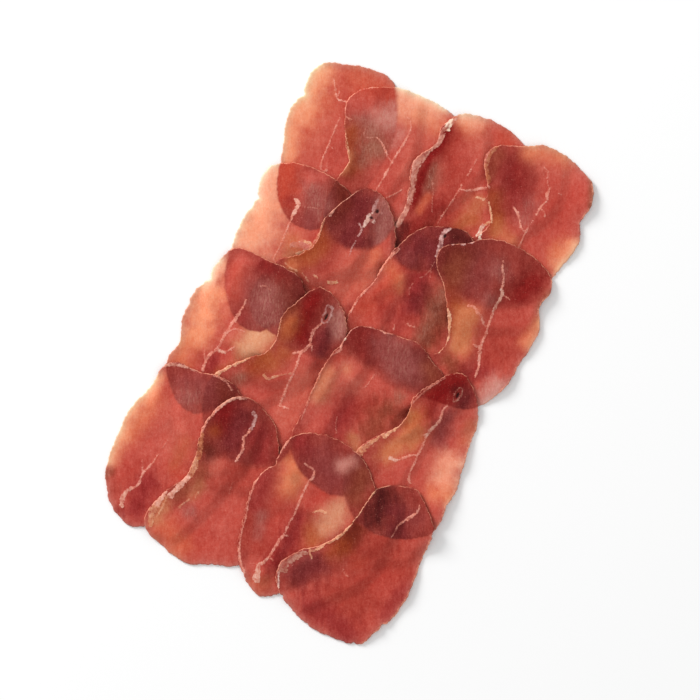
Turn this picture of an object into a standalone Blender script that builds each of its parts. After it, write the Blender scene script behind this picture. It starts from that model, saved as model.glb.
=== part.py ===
"""Sheet of thin cured-beef slices, laid like roof tiles in four rows of four.

Each slice is one closed solid. Its outline runs clockwise through a few landmarks of the muscle's
cross-section, and its underside is draped over the slices that were laid before it.
Lengths are metres, except the landmarks, which are millimetres from the middle of the sheet.
"""

import math

import bmesh
import bpy
import numpy as np
from mathutils.bvhtree import BVHTree

MM = 0.001

# Driving dimensions
SLICE_THICKNESS = 1.0 * MM
CONTACT_GAP = 0.38 * MM
CELLS_ACROSS = 12
CELLS_ALONG = 15
SPLINE_STEPS = 8

# Drape: every facet is shorter than COVER_REACH, so a slice clears what lies under it,
# and BLEND_REACH rounds the steps.
COVER_REACH = 9.0 * MM
BLEND_REACH = 3.0 * MM
FIELD_PITCH = 1.0 * MM
FIELD_HALF_WIDTH = 92.0 * MM
FIELD_HALF_LENGTH = 144.0 * MM
RAY_START = 0.1

# Rows run from the top of the sheet down, and columns from left to right. Each slice lies over
# its left neighbour and over the row above. A slice's outline is four runs, and each starts at
# a corner of it: its crown, its straight right flank, its toe and the hollow waist with the fat rim.
# Lifts are (x, y, reach, height): places where the edge stands clear of the table.
SLICES = {
    "slice_r1c1": {
        "crown": [(-78, 118), (-73.5, 125.5), (-63, 129.5), (-50, 133)],
        "right": [(-38, 130.5), (-29, 114), (-26, 96), (-30, 73), (-38, 52)],
        "toe": [(-50, 46), (-62, 51)],
        "waist": [(-70, 63), (-73, 75), (-78.5, 91), (-79, 100), (-77, 107)],
        "colour": (0.62, 0.13, 0.07),
    },
    "slice_r1c2": {
        "crown": [(-55.5, 114), (-51, 122), (-45, 125.5), (-36, 130), (-22, 131.5), (-5, 130)],
        "right": [(4, 122), (8, 109), (4, 96), (-4, 84), (-6.5, 68)],
        "toe": [(-12, 53), (-26, 46.5)],
        "waist": [(-38, 51), (-43, 65), (-42.5, 78), (-41.5, 86), (-47, 94), (-53, 105.5)],
        "colour": (0.52, 0.12, 0.08),
    },
    "slice_r1c3": {
        "crown": [(-7.5, 122), (-2.5, 131), (4, 134.5), (20, 136), (34, 132), (44, 127.5)],
        "right": [(49, 118), (48, 106), (41.5, 96), (38.5, 84), (35, 72)],
        "toe": [(22, 57), (10, 51)],
        "waist": [(-1, 54), (-6.5, 66), (-6.5, 79), (-10, 91), (-12.5, 101), (-6, 114)],
        "colour": (0.47, 0.08, 0.05),
    },
    "slice_r1c4": {
        "crown": [(20.5, 124.5), (28, 129), (34.5, 131.5), (42, 136), (53, 136.5), (66, 133)],
        "right": [(73.5, 128.5), (77, 119), (76, 110), (79.5, 100), (78, 89), (74.5, 76), (72, 64)],
        "toe": [(58, 54), (42, 49.5), (26, 52)],
        "waist": [(16, 62), (20, 73), (31.5, 80), (35.5, 90), (30, 98), (25, 107.5), (19, 117)],
        "lifts": [(77, 122, 20, 1.4), (79, 98, 14, 0.6)],
        "colour": (0.45, 0.07, 0.05),
    },
    "slice_r2c1": {
        "crown": [(-76, 66), (-72, 70), (-65, 74), (-54, 75.5), (-41, 74.5)],
        "right": [(-32, 70), (-28, 58), (-28, 38), (-32, 15)],
        "toe": [(-40, -5), (-50, -11.5), (-61, -7)],
        "waist": [(-69, 2), (-73.5, 12), (-75.5, 22), (-76.5, 35), (-75, 48), (-77, 59)],
        "colour": (0.58, 0.13, 0.07),
    },
    "slice_r2c2": {
        "crown": [(-33, 71), (-30, 76.5), (-24, 78.7), (-17, 77), (-9, 70), (-2, 57.5)],
        "right": [(-1.5, 45), (-3.5, 25), (-2.5, 5)],
        "toe": [(-8, -7), (-20, -9), (-36, -8), (-49, -5), (-56, 3)],
        "waist": [(-56, 14), (-52, 26), (-43, 34), (-38.5, 42), (-40, 53), (-37.5, 62)],
        "colour": (0.40, 0.08, 0.05),
    },
    "slice_r2c3": {
        "crown": [(-1.5, 57), (2, 66), (8, 74), (17, 78), (26, 80.5), (33, 76)],
        "right": [(38, 70), (41, 58), (41.5, 42), (44.5, 26), (42, 8)],
        "toe": [(30, -4), (15, -2), (2, 0)],
        "waist": [(-6, 7), (-8, 20), (-7.5, 28), (-4, 38), (-3.2, 48)],
        "colour": (0.45, 0.06, 0.05),
    },
    "slice_r2c4": {
        "crown": [(20, 69), (31.5, 76.5), (38, 82), (48, 84.5), (62, 83.7), (74, 79)],
        "right": [(77.5, 71), (76, 62.5), (81, 51), (79.5, 32), (77.5, 17)],
        "toe": [(70, 4.5), (60, -1), (38, -3), (27, 1)],
        "waist": [(23, 9), (30, 16), (40, 19), (42, 27), (36, 40), (28, 51.5), (20, 60)],
        "lifts": [(80, 48, 16, 0.8)],
        "colour": (0.42, 0.07, 0.05),
    },
    "slice_r3c1": {
        "crown": [(-75, 21), (-68, 23.8), (-55, 24), (-41, 24)],
        "right": [(-33, 18.5), (-27, 10), (-24, -8), (-26, -22), (-36, -32)],
        "toe": [(-42, -44), (-50, -57), (-60, -61), (-69.5, -56.5)],
        "waist": [(-79.5, -44), (-78, -32), (-82, -20), (-82, -5), (-78.5, 3), (-79, 9)],
        "colour": (0.60, 0.14, 0.07),
    },
    "slice_r3c2": {
        "crown": [(-28, 22.5), (-21, 23), (-13, 19), (-7, 12.5)],
        "right": [(-4, 5), (-1, -3), (-2.5, -15), (-4.5, -30), (-4, -48)],
        "toe": [(-8, -65), (-23, -73.5), (-38, -72), (-50, -62), (-56, -48)],
        "waist": [(-54.5, -37.5), (-46, -26.5), (-36.5, -17), (-35.5, -8), (-37.5, 2), (-33, 14)],
        "colour": (0.45, 0.08, 0.05),
    },
    "slice_r3c3": {
        "crown": [(-4, 9), (0, 15), (8, 17), (20, 18.5), (31, 19.5), (39, 14.5), (47, 11.5)],
        "right": [(49, 4), (44, -8), (42, -25), (41, -42)],
        "toe": [(37, -58), (25, -67), (12, -66), (0, -60.5)],
        "waist": [(-7, -50), (-7.5, -38), (-8, -15), (-7, -4), (-4.8, 2)],
        "colour": (0.48, 0.08, 0.05),
    },
    "slice_r3c4": {
        "crown": [(43, 2), (50.5, 12.5), (57, 15.5), (65, 10.5)],
        "right": [(70, 4), (74, -5), (75, -16), (77.5, -31), (79, -40), (77.5, -47), (78.5, -55)],
        "toe": [(76, -64), (62, -73), (46, -75), (34, -69), (26, -58)],
        "waist": [(25.5, -42), (30, -33), (38, -23), (40.5, -15), (39.5, -6)],
        "lifts": [(79, -26, 20, 1.4)],
        "colour": (0.55, 0.11, 0.06),
    },
    "slice_r4c1": {
        "crown": [(-79.5, -45), (-72, -41.5), (-62, -41), (-51, -38.7), (-41, -41)],
        "right": [(-35, -50), (-33.5, -68), (-37, -85), (-42, -103)],
        "toe": [(-50, -119), (-59, -125.3), (-67, -123.5), (-75, -118.5)],
        "waist": [(-83, -106), (-85.5, -88), (-85.5, -73), (-82.5, -63), (-81, -57)],
        "colour": (0.55, 0.11, 0.07),
    },
    "slice_r4c2": {
        "crown": [(-46, -52), (-41, -44.5), (-34, -42), (-25, -44.3), (-16, -49.5)],
        "right": [(-10, -59), (-4, -72), (0, -90), (1, -105)],
        "toe": [(-1.5, -118.5), (-15, -125), (-28, -130), (-42, -127), (-52, -123.5)],
        "waist": [(-55.5, -115), (-51, -101), (-45.5, -90), (-46.5, -77), (-49, -65)],
        "colour": (0.45, 0.08, 0.05),
    },
    "slice_r4c3": {
        "crown": [(-5, -48), (4, -43), (16, -41.5), (28, -43.7), (38, -51)],
        "right": [(46, -62), (48.5, -78), (47, -93), (36, -108)],
        "toe": [(25, -120), (14, -128.5), (3, -123.5)],
        "waist": [(-6, -114), (-10.5, -99), (-13.5, -82), (-12, -72), (-8.5, -65), (-8.5, -56)],
        "colour": (0.50, 0.09, 0.06),
    },
    "slice_r4c4": {
        "crown": [(47, -51), (60, -46.7), (68, -51.5)],
        "right": [(77, -61), (78.5, -78), (80, -96), (78, -110), (73.5, -119)],
        "toe": [(70, -127.5), (62, -130.5), (44, -131.5), (30, -127), (20.5, -121.5)],
        "waist": [(15.5, -111), (22, -99), (31, -91.5), (38, -79), (40.5, -68), (42.5, -56)],
        "lifts": [(81, -92, 14, 0.5)],
        "colour": (0.45, 0.06, 0.05),
    },
}


def closed_spline(points):
    """Smooth closed curve through the points, as a dense run of points."""
    count = len(points)
    curve = []
    for index in range(count):
        before, start, end, after = (points[(index + shift) % count] for shift in (-1, 0, 1, 2))
        for step in range(SPLINE_STEPS):
            t = step / SPLINE_STEPS
            turn = (end - before) * t + (2 * before - 5 * start + 4 * end - after) * t ** 2
            bend = (3 * start - before - 3 * end + after) * t ** 3
            curve.append(start + 0.5 * (turn + bend))
    return np.array(curve)


class Side:
    """One run of a slice's edge, read by its share of the run's length."""

    def __init__(self, points):
        self.points = points
        steps = np.hypot(*np.diff(points, axis=0).T)
        self.shares = np.concatenate([[0.0], np.cumsum(steps)]) / steps.sum()

    def at(self, share):
        return np.array([np.interp(share, self.shares, self.points[:, axis]) for axis in (0, 1)])


class Outline:
    """A slice seen from above: a patch stretched between its four sides."""

    def __init__(self, shape):
        runs = [shape[name] for name in ("crown", "right", "toe", "waist")]
        landmarks = [point for run in runs for point in run]
        edge = closed_spline(np.array(landmarks) * MM)
        edge = np.vstack([edge, edge[:1]])
        starts = [0]
        for run in runs:
            starts.append(starts[-1] + len(run) * SPLINE_STEPS)
        sides = [Side(edge[start:end + 1]) for start, end in zip(starts, starts[1:])]
        self.crown, self.right, self.toe, self.waist = sides

    def point(self, across, along):
        """Place at shares of the way across, from the waist, and along, from the toe."""
        top, bottom = self.crown.at(across), self.toe.at(1 - across)
        left, right = self.waist.at(along), self.right.at(1 - along)
        between_ends = bottom * (1 - along) + top * along
        between_flanks = left * (1 - across) + right * across
        low = self.toe.at(1) * (1 - across) + self.toe.at(0) * across
        high = self.crown.at(0) * (1 - across) + self.crown.at(1) * across
        return between_ends + between_flanks - low * (1 - along) - high * along


def disc_steps(reach):
    """Whole steps of the height field that lie within a reach of one of its points."""
    count = int(reach / FIELD_PITCH)
    steps = range(-count, count + 1)
    return [(i, j) for i in steps for j in steps if math.hypot(i, j) * FIELD_PITCH <= reach]


class Table:
    """Height field of the bare table and everything laid on it so far."""

    def __init__(self):
        self.xs = np.arange(-FIELD_HALF_WIDTH, FIELD_HALF_WIDTH, FIELD_PITCH)
        self.ys = np.arange(-FIELD_HALF_LENGTH, FIELD_HALF_LENGTH, FIELD_PITCH)
        self.height = np.zeros((len(self.xs), len(self.ys)))
        self.cover_steps = disc_steps(COVER_REACH + BLEND_REACH)
        self.blend_steps = disc_steps(BLEND_REACH)

    def drape(self):
        """Smooth field that stays above everything laid so far."""
        cover = self.height.copy()
        for step in self.cover_steps:
            np.maximum(cover, np.roll(self.height, step, axis=(0, 1)), out=cover)
        return sum(np.roll(cover, step, axis=(0, 1)) for step in self.blend_steps) / len(self.blend_steps)

    def sample(self, field, place):
        """Height of a field at a place, between its four nearest points."""
        column = (place[0] - self.xs[0]) / FIELD_PITCH
        row = (place[1] - self.ys[0]) / FIELD_PITCH
        i, j = int(column), int(row)
        u, v = column - i, row - j
        near = field[i, j] * (1 - u) + field[i + 1, j] * u
        far = field[i, j + 1] * (1 - u) + field[i + 1, j + 1] * u
        return near * (1 - v) + far * v

    def lay(self, slice_mesh):
        """Raises the field to the top of a laid slice and the gap above it."""
        tree = BVHTree.FromBMesh(slice_mesh)
        for i, x in enumerate(self.xs):
            for j, y in enumerate(self.ys):
                hit = tree.ray_cast((x, y, RAY_START), (0, 0, -1))[0]
                if hit:
                    self.height[i, j] = max(self.height[i, j], hit.z + CONTACT_GAP)


def lift_at(shape, place):
    """Height by which a slice's edge stands clear at a place."""
    total = 0.0
    for x, y, reach, height in shape.get("lifts", []):
        distance = math.dist(place, (x * MM, y * MM)) / (reach * MM)
        total += height * MM * max(0.0, 1 - distance ** 2) ** 2
    return total


def slice_mesh(shape, table):
    """Closed mesh of one slice, draped over the table as it is now."""
    outline = Outline(shape)
    drape = table.drape()
    mesh = bmesh.new()
    bmesh.ops.create_grid(mesh, x_segments=CELLS_ACROSS, y_segments=CELLS_ALONG, size=1.0)
    for vert in mesh.verts:
        place = outline.point((vert.co.x + 1) / 2, (vert.co.y + 1) / 2)
        vert.co = (*place, table.sample(drape, place) + lift_at(shape, place))
    bmesh.ops.triangulate(mesh, faces=mesh.faces[:], quad_method="SHORT_EDGE")
    underside = mesh.faces[:]
    raised = bmesh.ops.extrude_face_region(mesh, geom=underside, use_keep_orig=True)
    for item in raised["geom"]:
        if isinstance(item, bmesh.types.BMVert):
            item.co.z += SLICE_THICKNESS
    walls = [face for face in mesh.faces if len(face.verts) == 4]
    bmesh.ops.triangulate(mesh, faces=walls, quad_method="SHORT_EDGE")
    bmesh.ops.recalc_face_normals(mesh, faces=mesh.faces[:])
    return mesh


def meat(name, colour):
    """Cured lean beef: dark red with a faint moist sheen."""
    material = bpy.data.materials.new(name)
    material.use_nodes = True
    shader = material.node_tree.nodes["Principled BSDF"]
    shader.inputs["Base Color"].default_value = (*colour, 1.0)
    shader.inputs["Roughness"].default_value = 0.5
    shader.inputs["Metallic"].default_value = 0.0
    return material


def add_object(name, mesh, material):
    """Object with its material, made from a finished mesh."""
    data = bpy.data.meshes.new(name)
    mesh.to_mesh(data)
    mesh.free()
    data.materials.append(material)
    built = bpy.data.objects.new(name, data)
    bpy.context.collection.objects.link(built)
    return built


def centre_sheet(built):
    """Moves the sheet so that the origin lies under its middle."""
    corners = np.array([vert.co[:2] for item in built for vert in item.data.vertices])
    middle = 0.5 * (corners.min(axis=0) + corners.max(axis=0))
    for item in built:
        for vert in item.data.vertices:
            vert.co.x -= middle[0]
            vert.co.y -= middle[1]


def main():
    for item in list(bpy.data.objects):
        bpy.data.objects.remove(item, do_unlink=True)
    table = Table()
    built = []
    for name, shape in SLICES.items():
        mesh = slice_mesh(shape, table)
        table.lay(mesh)
        built.append(add_object(name, mesh, meat(name, shape["colour"])))
    centre_sheet(built)


main()
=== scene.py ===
"""Sheet of sixteen thin slices of air-cured beef, lapped like roof tiles, seen from straight above."""

import math
from collections import namedtuple

import bmesh
import bpy
import numpy as np
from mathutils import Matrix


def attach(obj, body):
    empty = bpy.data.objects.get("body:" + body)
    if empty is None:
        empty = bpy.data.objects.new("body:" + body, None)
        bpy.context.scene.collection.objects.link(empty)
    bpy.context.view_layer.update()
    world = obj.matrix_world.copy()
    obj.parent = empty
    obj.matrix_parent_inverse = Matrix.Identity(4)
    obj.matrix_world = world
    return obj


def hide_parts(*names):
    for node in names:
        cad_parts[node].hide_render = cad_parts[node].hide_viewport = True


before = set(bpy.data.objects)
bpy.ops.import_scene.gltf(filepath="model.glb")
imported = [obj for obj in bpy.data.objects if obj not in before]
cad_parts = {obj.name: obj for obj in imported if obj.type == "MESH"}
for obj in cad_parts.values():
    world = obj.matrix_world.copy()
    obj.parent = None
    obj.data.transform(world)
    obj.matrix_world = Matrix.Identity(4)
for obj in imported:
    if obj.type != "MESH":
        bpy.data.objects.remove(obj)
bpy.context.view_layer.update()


MM = 0.001

# The sheet in the picture, and the camera straight above it
PICTURE_PIXELS = 700
PIXEL_SIZE = 0.5 * MM
SCALE_HEIGHT = 3 * MM
SHEET_TURN = math.radians(26)
LAYING_CENTRE = (2.35 * MM, -2.52 * MM)
LAYING_CENTRE_PIXEL = (348, 353)
LENS = 200
SENSOR = 36
CAMERA_RANGE = 20

# Real sizes of a slice, and the cells of its mesh
THICKNESS = 1.0 * MM
CONTACT_GAP = 0.33 * MM
CELLS_ACROSS = 130
CELLS_ALONG = 184
EVEN_ROUNDS = 60
EDGE_STEPS = 14
SAME_PLACE = 0.3 * MM
WALL_TILT = 0.3
RIM_ROUND = 0.5 * MM
RIM_SHARE = 0.7
RIM_OUTWARD = 0.2 * MM

# Waves that the slicer leaves in the rim, in millimetres: each is a few waves of nearly one length
Wave = namedtuple("Wave", "length height")
CRINKLE_WAVES = [Wave(14, 0.10), Wave(6, 0.08), Wave(2.8, 0.07), Wave(1.6, 0.03)]
WAVE_SPREADS = (-8, -3, 0, 4, 7)
WAVE_SHARES = (0.3, 1.0)

# Relief of the cut face. A ripple is smooth noise: its size in millimetres, and its height or share.
FAT_RISE = 0.10 * MM
FAT_SLOPE = (-0.3 * MM, 0.2 * MM)
HOLE_DEPTH = -0.55 * MM
HOLE_SLOPE = (0.5, 1.3)
FACE_RIPPLES = [(0.9, 0.04 * MM), (4, 0.08 * MM)]
FLAT_RIM = 0.8 * MM

# The drape of a slice over those laid before it
COVER_REACH = 9.0 * MM
BLEND_REACH = 3.0 * MM
RIM_COVER_REACH = 3.0 * MM
RIM_HANG = 7.0 * MM
FIELD_PITCH = 1.0 * MM
FIELD_HALF_WIDTH = 96.0 * MM
FIELD_HALF_LENGTH = 148.0 * MM
DEPTH_PITCH = 0.5 * MM
DEPTH_MARGIN = 6.0 * MM

SLICES = [f"slice_r{row}c{column}" for row in (1, 2, 3, 4) for column in (1, 2, 3, 4)]

# Each slice has its own seeds, and each of its fields adds its own number to them
FIRST_SEED = 3
SEED_STEP = 40
MOTTLE_SEED = 2
FIBRE_SEED = 4
LAYER_SEED = 10
RIM_SEED = 12
FAT_SEED = 20
FAT_COVER_SEED = 22
FACE_SEED = 30

# Places where a slice's edge stands clear, from the laying centre: x, y, reach and height in millimetres
LIFTS = {
    "slice_r1c4": [(78, 121, 20, 2.2), (79, 98, 14, 1.0)],
    "slice_r2c4": [(80, 66, 16, 1.2), (81, 46, 16, 1.2), (79, 20, 16, 1.8)],
    "slice_r3c4": [(79, -22, 18, 1.6), (80, -50, 20, 2.6)],
    "slice_r4c4": [(80, -62, 14, 1.1), (81, -94, 18, 1.6), (76, -118, 14, 1.4)],
}

# Small tears in the rim: x, y, depth and half width in millimetres
NICKS = {
    "slice_r1c1": [(-77.5, 106.5, 1.6, 2.2)],
    "slice_r1c4": [(76, 110, 1.0, 2.0)],
    "slice_r2c1": [(-75, 50, 1.6, 2.0)],
    "slice_r3c1": [(-78.5, 3, 1.0, 2.0)],
    "slice_r4c1": [(-72, -120.5, 0.8, 1.2), (-54, -122, 0.8, 1.0)],
    "slice_r4c2": [(-47, -124.5, 1.1, 1.2), (-39, -126.8, 0.9, 1.0), (-24, -128, 0.7, 0.9),
                   (-19, -126, 1.0, 1.2), (-12, -123, 0.9, 1.0)],
    "slice_r4c3": [(-8.5, -66, 1.0, 2.0), (15, -127, 0.6, 1.0)],
    "slice_r4c4": [(75, -115, 1.6, 2.2), (23.5, -124, 1.1, 1.2), (28, -127, 0.9, 1.0),
                   (33, -129, 1.1, 1.2), (41, -131.5, 0.8, 1.0), (52, -131, 0.8, 1.0), (66, -129, 1.0, 1.2)],
}

# sRGB tones of cured beef and its fat, and of painted sheen: the sheen tone, and grey_pink where strokes use
# it
TONES = {
    "peach": "FCB48A", "salmon": "F69A74", "pink_salmon": "F8A686", "apricot": "E4805C",
    "orange": "D4664A", "coral": "D06858", "vermilion": "C64E3C", "rose": "C85A4E",
    "red": "B8443A", "brick": "A63E34", "crimson": "943030", "garnet": "801C1A",
    "black_red": "4A1416", "maroon": "742C2E", "plum": "8C403E", "mauve": "A25852",
    "grey_pink": "CC8276", "sheen": "AC6A62", "tan": "C87A58", "sand": "DC9876",
    "amber": "B85E3A", "sienna": "9A4428", "umber": "6A2A20", "brown": "8C4432",
    "taupe": "985848", "honey": "D27A54",
    "vein": "EE9C88", "white_fat": "F0C4B4", "ivory": "FADCC4", "cream": "EAAC88",
    "pink_fat": "E4A490", "grey_fat": "C28A78", "lilac_fat": "DCA8A0", "rim_pink": "F4A488",
}
# Strokes of these tones get painted glints of fibre ends: partly dry meat, partly painted sheen
DRY_AND_SHEEN_TONES = ("sheen", "grey_pink", "mauve", "taupe")

# Lean tones for one, two, three and four layers of meat over the table: painted light through the meat,
# lightest where the white table shines through one layer and darker with each layer more
LAYERED_LIGHT_TONES = ["C25448", "9A4038", "7C322E", "6A2826"]

# The tones are as they look: the gloss is taken off, and the rest scaled to the light
TONE_GAIN = 0.94
GLOSS_SHARE = 0.011
DARKEST = 0.002

# Grain of the lean: fibres that run one way, and a mottle that tints green and blue more than red
FIBRE_TURN = math.radians(-62)
FIBRE_STRETCH = 5
FIBRE_RIPPLES = [(1.3, 1), (0.6, 0.6)]
FIBRE_SHARE = 0.10
MOTTLE = 0.12
MOTTLE_RIPPLES = [(5, 1), (2.2, 0.6)]
MOTTLE_TINT = (0.6, 1.2, 1.2)
MOTTLE_TOP = 1.15

# How the edges of strokes and streaks run out, and how evenly the fat covers
STROKE_EDGE = 2.2
STROKE_RIPPLES = [(4, 0.22), (1.7, 0.10)]
STROKE_FIBRES = 0.14
STREAK_STEPS = 4
STREAK_MARGIN = 0.03 * MM
STREAK_RIPPLES = [(1.4, 0.45), (0.6, 0.3)]
FAT_COVER = 0.85
FAT_COVER_RIPPLES = [(1.3, 0.6), (0.6, 0.35)]
FAT_COVER_LIMITS = (0.15, 1.1)
NO_FAT_GAP = 5 * MM
# Painted shade in the vessel holes: how dark, and how strongly
HOLE_SHADE_SHARE = 0.3
HOLE_SHADE_STRENGTH = 0.9

# Rims: painted glow on open ones where no meat lies below, and a pink line on lapped and shaded ones: part
# dried rim, part painted highlight and glow
PAINTED_GLOW_REACH = 1.6 * MM
PAINTED_GLOW_GAIN = (0.0, 1.1, 1.35)
BRIGHTEST = 0.9
LAPPED_COUNT = (0.2, 0.8)
OPEN_RIM_TONE = "sand"
OPEN_RIM_STRENGTH = 0.15
LAPPED_RIM_TONE = "rim_pink"
LAPPED_RIM_STRENGTH = 0.85
RIM_COVER = 0.6
RIM_COVER_RIPPLES = [(1.3, 0.7), (7, 0.5)]
# Where the right-hand side lies in shade, its rims get a wider pink line as painted glow
SHADED_SIDE = (60 * MM, 76 * MM)
SHADED_RIM_GAIN = 0.55

# The studio: a low soft key light from the picture's upper left, an even fill, and a board as the table
KEY_DISTANCE = 3.0
KEY_RISE = math.radians(25)
KEY_SIZE = 1.2
KEY_POWER = 80.0
FILL_STRENGTH = 0.72
BOARD_SIZE = 3.0
BOARD_DROP = 0.05 * MM
BOARD_WHITE = 0.93
BOARD_ROUGHNESS = 0.9

# How softly the painted see-through shade of hidden rims shows through a slice, in millimetres: the row
# above's and the left neighbour's
Blur = namedtuple("Blur", "above beside")
USUAL_BLUR = Blur(0.5, 4.0)
BLURS = {
    "slice_r1c2": Blur(0.5, 1.2),
    "slice_r2c2": Blur(1.6, 4.0),
    "slice_r2c3": Blur(1.4, 4.0),
    "slice_r2c4": Blur(4.0, 4.0),
    "slice_r3c2": Blur(2.5, 4.0),
    "slice_r3c3": Blur(4.0, 4.0),
    "slice_r4c2": Blur(2.5, 4.0),
    "slice_r4c3": Blur(0.9, 4.0),
}
BLUR_PER_LAYER = 2
CRISP_LIMIT = 2
CRISP_WANDER = 0.5
SOFT_WANDER = 2
WANDER_SIZE = 3 * MM
SIDE_SHARE = 0.75
# Painted shade seen through the meat: a thin dark line where a hidden rim lies under the slice
EDGE_SHOW = 0.8 * MM
EDGE_FADE = 1.2
HIDDEN_RIM_SHADE_STRENGTH = 0.12

# Values that the material's nodes use
GRAIN_RANGE = (1.1, 1.9)
LEAN_POWER = (1.16, 0.84)
FAT_POWER = (1.35, 0.65)
SEED_RANGE = (0.66, 0.78)
SEED_SHARE = (0.0, 0.25)
HATCH_TURN = math.radians(-70)
HATCH_RANGE = (0.50, 0.66)
HATCH_SHARE = (0.0, 0.55)
FAT_SPECKS = -1.3
FAT_EDGE = (-0.95, -0.50)
RIM_SPECKS = -0.8
RIM_EDGE = (-0.40, 0.10)
CLOUD_RANGE = (0.3, 0.7)
ROUGHNESS = (0.42, 0.62)
BUMP_HEIGHT = 0.08 * MM
BUMP_STRENGTH = 0.3
MEAT_GLOSS = 0.15
MEAT_IOR = 1.42

Streak = namedtuple("Streak", "strength start end points tone", defaults=["vein"])
Stroke = namedtuple("Stroke", "tone reach strength points")
Hole = namedtuple("Hole", "centre radii")

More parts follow.
